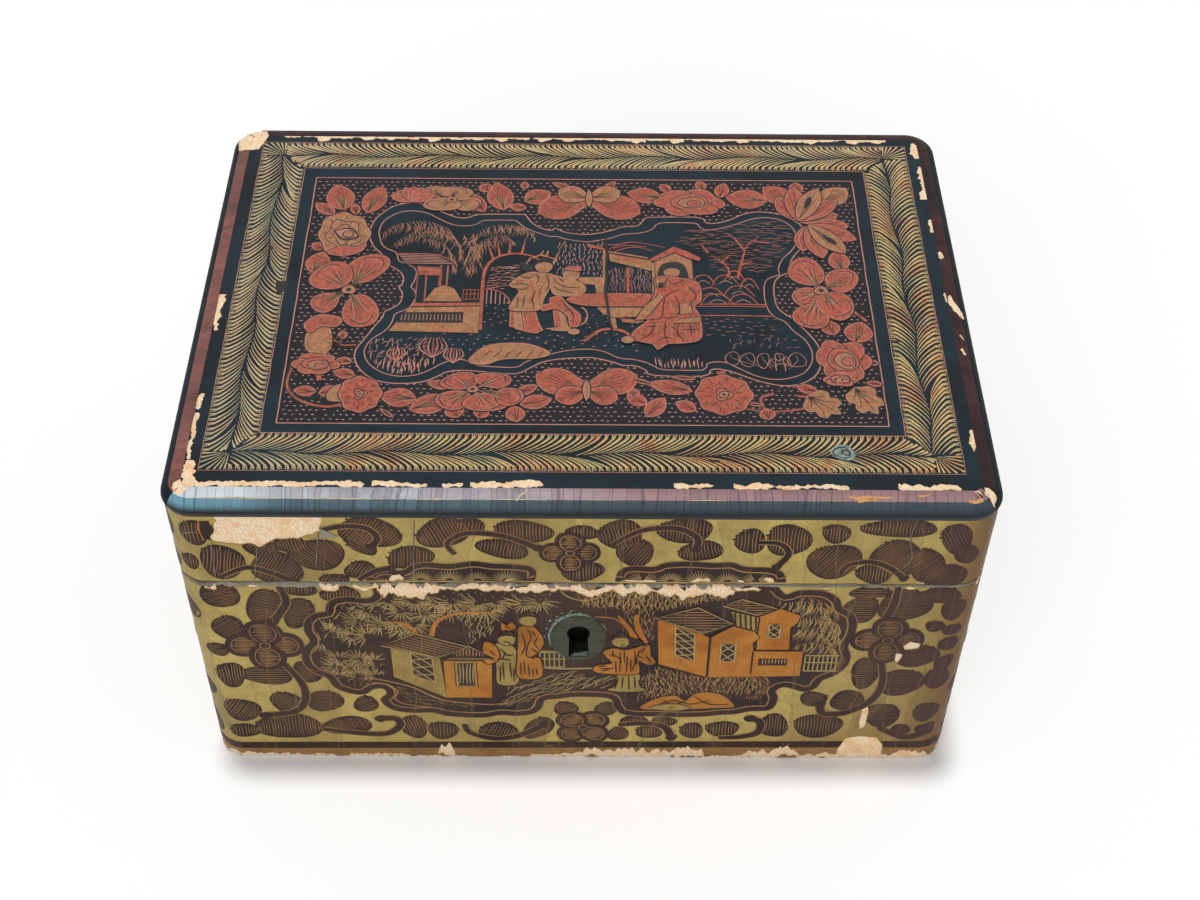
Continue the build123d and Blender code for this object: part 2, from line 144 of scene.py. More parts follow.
# ways in which one colour can give way to another; "fall" runs down to the right
directions = {"X": (1, 0, 0), "Y": (0, 1, 0), "Z": (0, 0, 1), "fall": (0.7, 0, -0.7)}


def agedFinish(name, finish):
    # cloudy colour with fine grime, cracks and a faintly uneven face
    roughness, specular = finish.get("sheen", (0.5, 0.25))
    material, tree, place = startMaterial(name, roughness, 0, specular)
    cloud = addNode(tree, "TexNoise", {"Scale": 1000 / finish["cloud"], "Detail": 4, "Roughness": 0.6},
        {"Vector": place})
    share, other, speckMm = finish["grime"]
    speck = addNode(tree, "TexNoise", {"Scale": 1000 / speckMm, "Detail": 3, "Roughness": 0.7}, {"Vector": place})
    grime = addNode(tree, "MapRange", {"From Min": 0.42, "From Max": 0.72, "To Max": share},
        {"Value": speck.outputs["Fac"]})
    stainsAndPaintedLight = [(grime.outputs["Result"], other)]  # how much of which colour lies over the rest
    for axis, start, end, other in finish.get("drift", ()):
        # another colour takes over along the box; several finishes use this for painted shade and painted
        # highlights
        along = addNode(tree, "VectorMath", {"operation": "DOT_PRODUCT", 1: directions[axis]}, {0: place})
        share = addNode(tree, "MapRange", {"From Min": start * mm, "From Max": end * mm},
            {"Value": along.outputs["Value"]})
        stainsAndPaintedLight.append((share.outputs["Result"], other))
    height = speck.outputs["Fac"]
    if "cracks" in finish:
        # thin wandering lines; each plate between them is lighter or darker
        across, apart, wide, strength, other = finish["cracks"]
        wander = addNode(tree, "TexNoise", {"Scale": 60, "Detail": 2}, {"Vector": place})
        shift = addNode(tree, "VectorMath", {"operation": "SCALE", "Scale": 0.004}, {0: wander.outputs["Color"]})
        moved = addNode(tree, "VectorMath", {"operation": "ADD"}, {0: place, 1: shift.outputs["Vector"]})
        thin = addNode(tree, "Mapping", {"Scale": [1000 / apart if a in across else 4 for a in "XYZ"]},
            {"Vector": moved.outputs["Vector"]})
        plates, cells = (addNode(tree, "TexVoronoi", {"feature": feature, "Scale": 1, "Randomness": 1},
            {"Vector": thin.outputs["Vector"]}) for feature in ("F1", "DISTANCE_TO_EDGE"))
        shade = addNode(tree, "SeparateXYZ", {}, {0: plates.outputs["Color"]})
        share, dark = finish.get("plates", (0, "#101010"))
        tint = addNode(tree, "Math", {"operation": "MULTIPLY", 1: share}, {0: shade.outputs["X"]})
        crack = addNode(tree, "MapRange", {"From Max": wide, "To Min": 1, "To Max": 0},
            {"Value": cells.outputs["Distance"]})
        amount = addNode(tree, "Math", {"operation": "MULTIPLY", 1: strength}, {0: crack.outputs["Result"]})
        stainsAndPaintedLight += [(tint.outputs[0], dark), (amount.outputs[0], other)]
        height = addNode(tree, "Math", {"operation": "SUBTRACT"}, {0: height, 1: amount.outputs[0]}).outputs[0]
    colour = spreadColours(tree, cloud.outputs["Fac"], finish["colours"])
    for share, other in stainsAndPaintedLight:
        colour = addNode(tree, "Mix", {"data_type": "RGBA", 7: linear(other)},
            {"Factor": share, 6: colour}).outputs[2]
    gloss = addNode(tree, "MapRange", {"To Min": roughness - 0.08, "To Max": roughness + 0.18},
        {"Value": cloud.outputs["Fac"]})
    return complete(material, colour, height, finish.get("bump", 0.25), 0.0003, gloss)


# lacquers are tree-sap varnish rubbed flat: a soft satin shine over deep, uneven colour
finishes = dict(
    # olive gold ground of the walls, gold powder under yellowed varnish; it turns darker brown towards the lower
    # right, and dark orange-brown round the front's right corner, painted shade where that corner turns from the
    # light
    goldGround=dict(colours="#937e47 #b09854 #bfa85f #a18b4d", cloud=42, grime=(0.3, "#6a5530", 2.2),
        sheen=(0.45, 0.2), cracks=("XY", 9, 0.014, 0.35, "#54432a"), plates=(0.38, "#6d5a34"),
        drift=[("fall", 14, 100, "#775838"), ("X", 103, 117, "#6b430f")]),
    # blue-black polished ground of the lid's top
    blackGround=dict(colours="#070c10 #0a161d #10232d #08131a", cloud=34, grime=(0.16, "#2c353a", 1.2),
        sheen=(0.42, 0.15)),
    # gold-powder brushwork of the feather border, rubbed to orange and olive in places
    featherGold=dict(colours="#948a63 #b9a873 #d0b176 #cc8e5a #ab9d73", cloud=16,
        grime=(0.4, "#2c2a26", 1.3),
        drift=[("Y", 50, 120, "#d8c096"), ("X", -60, -160, "#a8a48c")]),
    # an old scar through the paint, healed with pale green-grey dust
    paleScar=dict(colours="#4f5c57 #86998f #a7b5aa", cloud=1.6, grime=(0.4, "#39423f", 0.6),
        sheen=(0.7, 0.25), bump=0.7),
    # cinnabar figures, thinly laid so that the dark shows at the edges
    cinnabar=dict(colours="#8a3f33 #a84d3e #ba5844 #ad624b #904436 #b75f49", cloud=4,
        grime=(0.6, "#63332c", 1.2), cracks=("XYZ", 2.6, 0.06, 0.4, "#4a2623"),
        plates=(0.25, "#7a5340")),
    # the same figures dusted with gold, tan where it has worn
    goldDust=dict(colours="#9c5a44 #b37451 #af8056 #957850 #aa674c #b87f57", cloud=3.5,
        grime=(0.55, "#6a4434", 1), cracks=("XYZ", 2.6, 0.06, 0.4, "#4d3226"),
        plates=(0.3, "#a4624c")),
    # dashes and thin rules of the field, chalky pink
    pinkDash=dict(colours="#a4807a #c39388 #b99a92", cloud=8, grime=(0.3, "#3a3434", 1.5),
        sheen=(0.6, 0.25)),
    # a hazy blue sheen on the black top: painted reflection
    blueBloom=dict(colours="#0a161d #11242f #162c38", cloud=12, grime=(0.2, "#0a1014", 1.5),
        sheen=(0.5, 0.15)),
    # thin pink-red ruling
    pinkLine=dict(colours="#9a6e62 #bd8070 #b0897c", cloud=8, grime=(0.35, "#3a3434", 1.5)),
    # remains of a cream rule
    creamLine=dict(colours="#a89c88 #c9bda4", cloud=5, grime=(0.4, "#2a2119", 1.5),
        sheen=(0.6, 0.25)),
    # green rust of brass, powdery; laid along the plate's upper left rim it is also a painted highlight
    verdigris=dict(colours="#4a544e #75867a #93a194 #5b675d", cloud=1.4, grime=(0.45, "#343a36", 0.5),
        sheen=(0.8, 0.25), bump=0.8),
    # pale blue-green rust on the keyhole's floor, brightened into a painted glint
    brightRust=dict(colours="#6d8a80 #a9bfb3 #88a397", cloud=1.2, grime=(0.35, "#4a5751", 0.5),
        sheen=(0.8, 0.25)),
    # the orange under the maroon band, where it has rubbed through
    rubbedOrange=dict(colours="#a9703f #d09a62 #c08a52", cloud=2, grime=(0.4, "#7a5444", 0.8),
        sheen=(0.7, 0.25)),
    # drawing in dark lacquer over the figures
    inkLine=dict(colours="#0d1014 #1c1718", cloud=10, grime=(0.35, "#2a2119", 1.5),
        sheen=(0.45, 0.3)),
    # brown-black leaves and bands on the gold walls; redder round the front's right corner, recoloured as that
    # corner looks where it turns from the light (painted shade)
    brownFigure=dict(colours="#1d1315 #2b1d1c #3c2822 #281b1b", cloud=24, grime=(0.3, "#4a342a", 1.6),
        sheen=(0.45, 0.12), cracks=("XY", 9, 0.014, 0.5, "#7a6646"), plates=(0.42, "#4d3d32"),
        drift=[("X", 86, 116, "#42282a")]),
    # gold scratched through the dark leaves; darker towards the lower right, and browner round the front's right
    # corner where it turns from the light (painted shade)
    scratchGold=dict(colours="#7d5a36 #996f42 #a88148", cloud=14, grime=(0.25, "#4a3424", 1.2),
        drift=[("fall", 20, 80, "#5c4031"), ("X", 88, 116, "#54382e")]),
    # brush drawing of trees and grass, thin gold over the dark
    twigGold=dict(colours="#8d7848 #a88f58 #b89c66", cloud=9, grime=(0.25, "#4a3a28", 1.2)),
    # houses and robes in orange gold
    orangeGold=dict(colours="#96591c #ad6c24 #b67a34 #a2641f", cloud=16, grime=(0.3, "#6e4218", 1.8),
        sheen=(0.5, 0.15), cracks=("XY", 9, 0.014, 0.35, "#4a331c"), plates=(0.2, "#8a5a26")),
    # the same gold thinly laid on dark: robes and pale walls
    paleGold=dict(colours="#8d743c #a38a4c #998046", cloud=12, grime=(0.35, "#5a452a", 1.4),
        sheen=(0.5, 0.15), cracks=("XY", 9, 0.014, 0.35, "#453720"), plates=(0.2, "#6f5c34")),
    # gesso ground of clay and glue where the lacquer has flaked off: chalky, cream, cracked
    gesso=dict(colours="#f6c79b #fbddb4 #feeacb #f8cfa6", cloud=5, grime=(0.2, "#dba672", 0.8),
        sheen=(0.85, 0.2), cracks=("XYZ", 1.1, 0.16, 0.4, "#d2965f"),
        bump=0.9),
    # moulding: a maroon upper band under a painted lilac-grey reflection, paler at the left end (painted highlight)
    # and turning maroon to the right; a black lower band under a painted steel-blue reflection, bright at the left
    # end (painted highlight), turning black to the right and darkest at its foot (painted shade); cracked across
    maroonBead=dict(colours="#8a8992 #a3a1ab #b4b3bb #94939d", cloud=22, grime=(0.35, "#5a4c56", 1.2),
        sheen=(0.4, 0.25), cracks=("X", 2.9, 0.03, 0.55, "#241b20"), plates=(0.36, "#4c3e4a"),
        bump=0.5, drift=[("X", -50, 20, "#937071"), ("X", -68, -104, "#cbd6da")]),
    blueBead=dict(colours="#394852 #4c616e #607a87 #435560", cloud=24, grime=(0.35, "#222d34", 1.4),
        sheen=(0.38, 0.25), cracks=("X", 2.9, 0.03, 0.55, "#0e1418"), plates=(0.4, "#18222a"),
        bump=0.5,
        drift=[("X", -90, 0, "#36434b"), ("X", -76, -122, "#6fa0b4"), ("Z", 125.4, 123.5, "#12181d")]),
    # the left moulding keeps a redder inner band
    redBead=dict(colours="#5e3a38 #7e4c45 #8a564c #6a4440", cloud=26, grime=(0.35, "#2c2224", 1.6),
        sheen=(0.42, 0.25), cracks=("Y", 5, 0.02, 0.5, "#1c1512"), plates=(0.35, "#101010")),
    # the same moulding on the other sides: all but black, with a maroon inner band
    sideBlue=dict(colours="#10161b #1a242b #222c33", cloud=30, grime=(0.3, "#2a2119", 1.6),
        sheen=(0.55, 0.06), cracks=("Y", 5, 0.03, 0.5, "#1c1512"), plates=(0.3, "#101010")),
    sideMaroon=dict(colours="#1e1518 #352022 #47292a #271b1f", cloud=20, grime=(0.3, "#2a2119", 1.6),
        sheen=(0.5, 0.12), cracks=("Y", 5, 0.03, 0.5, "#1c1512"), plates=(0.4, "#101010")),
    # the field under the garland: lacquer rubbed warm and dull, all but black
    fieldWash=dict(colours="#0e0f15 #14131a #1a171d", cloud=18, grime=(0.2, "#2a2119", 1.4),
        sheen=(0.5, 0.18), cracks=("X", 6, 0.03, 0.4, "#1c1512")),
    # brown band round the foot
    footBrown=dict(colours="#7e5a34 #a07646 #8e683c", cloud=18, grime=(0.4, "#4e3822", 1.8)),
    # pale grey band on the rounded arrises either side of the joint, where they catch the light: painted highlight
    wornRim=dict(colours="#6f675c #968f80 #857c6c", cloud=12, grime=(0.4, "#3a342c", 1.2)),
)
# the right wall turns darker brown towards the front corner: painted shade, as at the front's right corner
for name, basis, cracks, drift in (("goldGroundSide", "goldGround", None, []), ("goldGroundBack", "goldGround",
        None, []), ("goldGroundRight", "goldGround", None, [("Y", -58, -81, "#6e4a1e")]),
        ("backBlue", "sideBlue", "X", []), ("backMaroon", "sideMaroon", "X", [])):
    finishes[name] = {**finishes[basis], "drift": drift}
    if cracks:
        finishes[name]["cracks"] = (cracks, *finishes[basis]["cracks"][1:])
materials = {name: agedFinish(name, finish) for name, finish in finishes.items()}
print("materials made:", len(materials))


# surfaces: millimetres along and up a face become a place in the frame
sides = {  # turn, half the straight run, distance from the middle
    "front": (0, case["halfLength"] - case["cornerRound"], case["halfDepth"]),
    "right": (90, case["halfDepth"] - case["cornerRound"], case["halfLength"]),
    "back": (180, case["halfLength"] - case["cornerRound"], case["halfDepth"]),
    "left": (270, case["halfDepth"] - case["cornerRound"], case["halfLength"]),
}
cornerSteps = 7  # facets in half a corner
halfArc = case["cornerRound"] * pi / 4


def ringPoint(side, u, out, z):
    turn, half, distance = sides[side]
    angle = max(0, abs(u) - half) / case["cornerRound"]
    radius = case["cornerRound"] + out
    x = copysign(min(abs(u), half) + radius * sin(angle), u)
    y = case["cornerRound"] - distance - radius * cos(angle)
    c, s = cos(radians(turn)), sin(radians(turn))
    return (mm * (x * c - y * s), mm * (x * s + y * c), mm * z)


def bendLines(side):
    half = sides[side][1]
    arcs = [half + halfArc * i / cornerSteps for i in range(cornerSteps + 1)]
    return [-u for u in reversed(arcs)] + arcs


def wallSurface(side, foot, top, footRound, topRound):
    # a wall with rounded arrises
    def point(u, v, lift):
        if topRound and v > top - topRound:
            angle = (v - top + topRound) / topRound
            return ringPoint(side, u, (topRound + lift) * cos(angle) - topRound,
                top - topRound + (topRound + lift) * sin(angle))
        if footRound and v < foot + footRound:
            angle = (foot + footRound - v) / footRound
            return ringPoint(side, u, (footRound + lift) * cos(angle) - footRound,
                foot + footRound - (footRound + lift) * sin(angle))
        return ringPoint(side, u, lift, v)
    rounds = [foot + footRound * i / 3 for i in range(4)] if footRound else []
    rounds += [top - topRound * i / 3 for i in range(4)] if topRound else []
    return {"point": point, "us": bendLines(side), "vs": rounds}


bead = {"inset": 5.55, "proud": 0.5, "foot": 1.9, "crown": 4.2, "crownLength": 8.2}


def beadSurface(side):
    # v runs up the moulding's foot, then over its quarter round
    def point(u, v, lift):
        if v < bead["foot"]:
            return ringPoint(side, u, bead["proud"] * sin(v / bead["foot"] * pi / 2) + lift, case["railTop"] + v)
        angle = min(1, (v - bead["foot"]) / bead["crownLength"]) * pi / 2
        across, rise = bead["proud"] + bead["inset"], bead["crown"]
        nx, nz = cos(angle) / across, sin(angle) / rise
        size = hypot(nx, nz)
        out = across * cos(angle) - bead["inset"] + lift * nx / size
        return ringPoint(side, u, out, case["railTop"] + bead["foot"] + rise * sin(angle) + lift * nz / size)
    steps = [bead["foot"] * i / 3 for i in range(3)]
    steps += [bead["foot"] + bead["crownLength"] * i / 10 for i in range(11)]
    return {"point": point, "us": bendLines(side), "vs": steps}


def topPoint(u, v, lift):
    return (mm * u, mm * v, mm * (case["lidTop"] + lift))


topSurface = {"point": topPoint, "us": [], "vs": []}


# drawing: thin coats, each a list of points and faces
def newLayer(surface=topSurface, holes=()):
    return {"points": [], "faces": [], "surface": surface, "holes": holes,
        "wobble": random.Random(len(bpy.data.objects))}


def counterClockwise(outline):
    area = sum(a[0] * b[1] - b[0] * a[1] for a, b in zip(outline, outline[1:] + outline[:1]))
    return outline if area > 0 else outline[::-1]


def isInside(point, outline):
    u, v = point
    inside = False
    for (u0, v0), (u1, v1) in zip(outline, outline[1:] + outline[:1]):
        if (v0 > v) != (v1 > v) and u < u0 + (v - v0) * (u1 - u0) / (v1 - v0):
            inside = not inside
    return inside


def extent(outline):
    us, vs = [p[0] for p in outline], [p[1] for p in outline]
    return min(us), min(vs), max(us), max(vs)


def touches(a, b):
    return a[0] < b[2] and b[0] < a[2] and a[1] < b[3] and b[1] < a[3]


def curve(points, step, closed=False):
    # an even curve through a few points
    count = len(points)
    made = []
    for i in range(count if closed else count - 1):
        if closed:
            near = [points[(i + k - 1) % count] for k in range(4)]
        else:
            near = [points[min(max(i + k - 1, 0), count - 1)] for k in range(4)]
        pieces = max(1, round(dist(near[1], near[2]) / step))
        for k in range(pieces):
            t = k / pieces
            made.append(tuple(0.5 * (2 * b + (c - a) * t + (2 * a - 5 * b + 4 * c - d) * t * t
                + (3 * b - a - 3 * c + d) * t ** 3) for a, b, c, d in zip(*near)))
    return made if closed else made + [tuple(points[-1])]


def normals(line, closed=False):
    made = []
    for i in range(len(line)):
        a = line[i - 1] if closed or i else line[0]
        b = line[(i + 1) % len(line)] if closed or i < len(line) - 1 else line[-1]
        du, dv = b[0] - a[0], b[1] - a[1]
        size = hypot(du, dv) or 1
        made.append((-dv / size, du / size))
    return made


def moveOut(outline, distance):
    outline = counterClockwise(list(outline))
    return [(p[0] - n[0] * distance, p[1] - n[1] * distance) for p, n in zip(outline, normals(outline, True))]


def addStroke(layer, line, width, lift, closed=False):
    # width is one number, or several spread along the line
    widths = width if isinstance(width, tuple) else (width, width)
    lift += layer["wobble"].uniform(0, unevenness)
    line = list(line) + ([line[0]] if closed else [])
    sideways = normals(line[:-1], True) if closed else normals(line)
    if closed:
        sideways.append(sideways[0])
    box = extent(line)
    holes = [h for h in layer["holes"] if touches(extent(h), box)]
    first = len(layer["points"])
    for i, (p, n) in enumerate(zip(line, sideways)):
        t = (len(widths) - 1) * i / (len(line) - 1)
        k = min(int(t), len(widths) - 2)
        w = widths[k] + (widths[k + 1] - widths[k]) * (t - k)
        for way in (0.5, -0.5):
            layer["points"].append(layer["surface"]["point"](p[0] + n[0] * w * way, p[1] + n[1] * w * way, lift))
    for i in range(len(line) - 1):
        middle = ((line[i][0] + line[i + 1][0]) / 2, (line[i][1] + line[i + 1][1]) / 2)
        if not any(isInside(middle, h) for h in holes):
            k = first + 2 * i
            layer["faces"].append((k, k + 1, k + 3, k + 2))


def addShape(layer, outline, lift, floor=None):
    # cut where the surface bends and where the coat has flaked off
    outline = counterClockwise(list(outline))
    box = extent(outline)
    surface = layer["surface"]
    holes = [counterClockwise(list(h)) for h in layer["holes"] if touches(extent(h), box)]
    us, vs = [u for u in surface["us"] if box[0] < u < box[2]], [v for v in surface["vs"] if box[1] < v < box[3]]
    if floor is None:
        lift += layer["wobble"].uniform(0, unevenness)
    points, edges = [], []
    for closed in [outline] + holes:
        count, first = len(closed), len(points)
        edges += [(first + i, first + (i + 1) % count) for i in range(count)]
        points += closed
    for ends in [((u, box[1] - 1), (u, box[3] + 1)) for u in us] + [((box[0] - 1, v), (box[2] + 1, v)) for v in vs]:
        edges.append((len(points), len(points) + 1))
        points += ends
    made = delaunay_2d_cdt([Vector(p) for p in points], edges, [], 0, 1e-5, False)
    kept = []
    for f in made[2]:
        middle = [sum(made[0][i][k] for i in f) / 3 for k in (0, 1)]
        if isInside(middle, outline) and not any(isInside(middle, h) for h in holes):
            kept.append(list(f))
    first = len(layer["points"])
    layer["points"] += [surface["point"](p.x, p.y, lift) for p in made[0]]
    layer["faces"] += [tuple(first + i for i in f) for f in kept]
    if floor is not None:
        # the coat's thickness shows all round
        rim = set()
        for a, b in ((a, b) for f in kept for a, b in zip(f, f[1:] + f[:1])):
            if (b, a) in rim:
                rim.remove((b, a))
            else:
                rim.add((a, b))
        low = {}
        for i in {i for edge in rim for i in edge}:
            low[i] = len(layer["points"])
            layer["points"].append(surface["point"](made[0][i].x, made[0][i].y, floor))
        layer["faces"] += [(first + b, first + a, low[a], low[b]) for a, b in sorted(rim)]


def finishLayer(layer, name, material, body="lid", slot="black_lacquer"):
    mesh = bpy.data.meshes.new(name)
    mesh.from_pydata([tuple(p) for p in layer["points"]], [], layer["faces"])
    mesh.materials.append(materials[material])
    piece = bpy.data.objects.new(name, mesh)
    addObject(piece)
    used = {i for f in layer["faces"] for i in f}
    if len(used) < len(layer["points"]):
        shape = bmesh.new()
        shape.from_mesh(mesh)
        bmesh.ops.delete(shape, geom=[v for v in shape.verts if not v.link_faces], context="VERTS")
        shape.to_mesh(mesh)
        shape.free()
    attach(piece, body)


def raggedBand(start, end, low, high, seed):
    # a strip between two points, jagged along both edges
    vary = random.Random(seed).uniform
    length = dist(start, end)
    du, dv = (end[0] - start[0]) / length, (end[1] - start[1]) / length
    edges = [[], []]
    for k, offset in enumerate((low, high)):
        along, drift = 0, 0
        while along < length:
            drift = 0.7 * drift + vary(-0.28, 0.28)
            fade = min(1, (along + 0.4) / 1.6, (length - along + 0.4) / 1.6)
            bite = offset * (0.35 + 0.65 * fade if k == (abs(high) > abs(low)) else 1) + (high - low) * drift * (1
                if k else -1)
            edges[k].append((start[0] + du * along - dv * bite, start[1] + dv * along + du * bite))
            along += vary(0.4, 1.1)
    return edges[0] + [end] + edges[1][::-1] + [start]


def ragged(points, amount, seed):
    # small irregular bites all round
    vary = random.Random(seed).uniform
    made = []
    for a, b in zip(points, points[1:] + points[:1]):
        pieces = max(1, round(dist(a, b) / 1.1))
        for k in range(pieces):
            t = k / pieces
            made.append((a[0] + (b[0] - a[0]) * t + vary(-amount, amount), a[1] + (b[1] - a[1]) * t + vary(-amount,
                amount)))
    return made


# where the lacquer has flaked off, by face
baseTop, lidFoot, railTop = case["baseTop"], case["lidFoot"], case["railTop"]
flakes = {side + part: [] for side in sides for part in ("Base", "Lid", "Bead")}
flakes["top"] = []
bigFlake = uv(-106,124, -74,124, -74.4,119, -75.5,114.5, -82,111.5, -89,111, -93,107.5, -96,109, -101,109, -106,110,
    -107,111.5, -105.5,115, -104.5,119)
flakes["frontLid"] = [ragged(bigFlake, 0.3, 1)]
for u0, u1, depth in ((-57, -52.5, 2.6), (-23, -19, 1.8), (11, 22, 1.2), (32, 38, 2.2), (46, 48, 1.6), (53, 57, 2)):
    flakes["frontLid"].append(raggedBand((u0, lidFoot + 1.2), (u1, lidFoot + 1.2), 0.2, depth, u1))
# the rim under the joint: start, end, how far down
for u0, u1, depth in ((-112, -108.5, 2.6), (-100, -96, 1.2), (-78, -72, 2.4), (-68, -60, 2.4), (-61, -42, 4.8),
        (-44, -21, 1.9), (-23, -6.5, 3.2), (-8, -2, 1.6), (-3.5, 26, 3.4), (24, 46, 4.8), (45, 54, 1.5),
        (70, 74, 1), (96, 99, 1)):
    flakes["frontBase"].append(raggedBand((u0, baseTop - 0.8), (u1, baseTop - 0.8), -depth, 0.1, u1))
# the foot: start, end, how far up
for u0, u1, depth in ((-118, -96, 2.3), (-97, -77, 1.5), (-78, -56, 2.3), (-55, -46, 1.6), (-48, -41.5, 6.6),
        (-42, -33, 1.2), (-30, -20, 1.6), (-17, 1, 2.2), (0, 24, 5.2), (22, 41, 5.8), (40, 55, 1.8), (53, 73, 5.4),
        (72, 86, 2.4), (99, 116, 4.6)):
    flakes["frontBase"].append(raggedBand((u0, -0.6), (u1, -0.6), -0.2, depth + 0.4, u1))
for outline in (uv(85,-0.6, 84.6,5, 86.6,11.6, 91,13, 96.6,12.4, 99.4,8.4, 100,-0.6),
        uv(90.5,30, 92,30.5, 92.8,26, 92.3,18, 90.8,16.5, 90.3,22), uv(99,62, 101,64.3, 104.5,63.2, 104,60.4,
        100,59.8), uv(97.5,58.5, 99.8,58, 98.6,53.2, 97.2,54.6)):
    flakes["frontBase"].append(ragged(outline, 0.15, len(flakes["frontBase"])))
# the top's arris: from, to, width
for u0, v0, u1, v1, width in ((-113,-80.2, -62,-80.2, 2), (-60,-80.2, -44,-80.2, 2.1), (-40,-80.3, -34,-80.3, 1.8),
        (-32,-80.2, -11,-80.2, 2.2), (26,-80, 38,-80, 1.9), (43,-80.2, 76,-80.2, 1.9), (90,-80.3, 108,-80.3, 2.4),
        (-113.4,0, -113.4,-17, 2.4), (-113.6,-44, -113.6,-51, 1.6), (-113.6,-52, -113.6,-71, 1.6),
        (-111,-81, -113.6,-71, 3.4), (104,81, -104,81, 1.5), (21,80.4, 13,80.4, 3.4), (34,80.6, 31,80.6, 2.6),
        (113.6,71, 113.6,80, 2.8), (113.8,49, 113.8,67, 2.4), (113.9,32, 113.9,39, 1.3), (114.3,-2, 114.3,3, 1),
        (114,-66, 114,-57, 2)):
    flakes["top"].append(raggedBand((u0, v0), (u1, v1), -0.5 * width, 0.5 * width, round(u0 + v1)))
for i in range(26):
    # scalloped loss along the back arris
    u = 100 - 7.6 * i
    flakes["top"].append(raggedBand((u + 2.6, 80.6), (u - 2.2, 80.6), -0.6, 1 + 0.5 * sin(2.3 * i), 90 + i))
flakes["top"].append(ragged(uv(-112,82, -108.5,81.5, -110,77, -111.5,74, -115,73, -115,80), 0.3, 7))
# the moulding's torn corners and edges
flakes["frontBead"] = [ragged(uv(-118.2,7.2, -116,6.9, -114,8.2, -113,10.2, -118.2,10.2), 0.25, 8),
    ragged(uv(111.5,10.2, 115.6,10.2, 116.4,8.6, 114.2,7.6), 0.25, 9), ragged(uv(117,8.4, 118.2,9, 118.2,3.4,
    117.3,3.8, 116.6,6), 0.2, 19)]
flakes["leftBead"] = [ragged(uv(85.1,10.2, 79,10.2, 80.5,8.4, 83,7.2, 85.1,7), 0.25, 10),
    ragged(uv(-85.1,10.2, -85.1,2, -80,5, -74,6.5, -73,10.2), 0.35, 11)]
flakes["backBead"] = [ragged(uv(118.2,10.2, 118.2,2, 113,4, 110,7, 109,10.2), 0.3, 12)]
flakes["rightBead"] = [ragged(outline, 0.2, 13 + k) for k, outline in enumerate((uv(-85.1,8.6, -85.1,4.4, -83,5.2,
    -81.4,8.4, -83,9.6), uv(22.6,10.2, 22.8,9, 20,8.4, 18.8,9.4, 19.4,10.2), uv(1,9.9, 2,9.2, -2,7.6, -5.5,5.8,
    -8.4,5.4, -8.6,6.6, -6,8.6, -2,9.9), uv(-17,8.8, -16,8.2, -18,7.2, -18.6,7.8), uv(-23,9.2, -22.4,8.4, -25,7.6,
    -25.4,8.6)))]
chance = random.Random(40)
for side in ("right", "back", "left"):
    span = sides[side][1] + halfArc
    u = -span
    while u < span - 6:
        # wear along foot and rim of the hidden sides
        width = chance.uniform(3, 14)
        end = min(u + width, span)
        flakes[side + "Base"].append(raggedBand((u, -0.6), (end, -0.6), -0.2, chance.uniform(1.2, 5),
            chance.random()))
        if chance.random() < 0.45 and side != "back":
            flakes[side + "Base"].append(raggedBand((u, baseTop - 0.8), (end, baseTop - 0.8),
                -chance.uniform(1, 3.4), 0.1, chance.random()))
        u = end + chance.uniform(1.5, 16)


# lacquer over the boards
skins = {"Base": {"foot": 0, "top": baseTop, "footRound": case["footRound"], "topRound": case["rimRound"],
    "body": "base"}, "Lid": {"foot": lidFoot, "top": railTop, "footRound": case["rimRound"], "topRound": 0,
    "body": "lid"}}
plateLow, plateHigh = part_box("keyhole_escutcheon")
plate = {"x": (plateLow.x + plateHigh.x) / 2 / mm, "z": (plateLow.z + plateHigh.z) / 2 / mm,
    "halfWidth": (plateHigh.x - plateLow.x) / 2 / mm, "halfHeight": (plateHigh.z - plateLow.z) / 2 / mm}
plateHole = [(plate["x"] + 0.86 * plate["halfWidth"] * cos(radians(a)),
    plate["z"] + 0.9 * plate["halfHeight"] * sin(radians(a))) for a in range(0, 360, 12)]
surfaces = {}


def openings(key):
    return flakes[key] + ([plateHole] if key == "frontBase" else [])


def layGesso(name, key, low, high, *place):
    # the ground shows in every flake
    if flakes[key]:
        layer = newLayer(surfaces[key])
        for hole in flakes[key]:
            addShape(layer, [(min(max(u, -span), span), min(max(v, low), high)) for u, v in hole], coat["gesso"])
        finishLayer(layer, name, "gesso", *place)


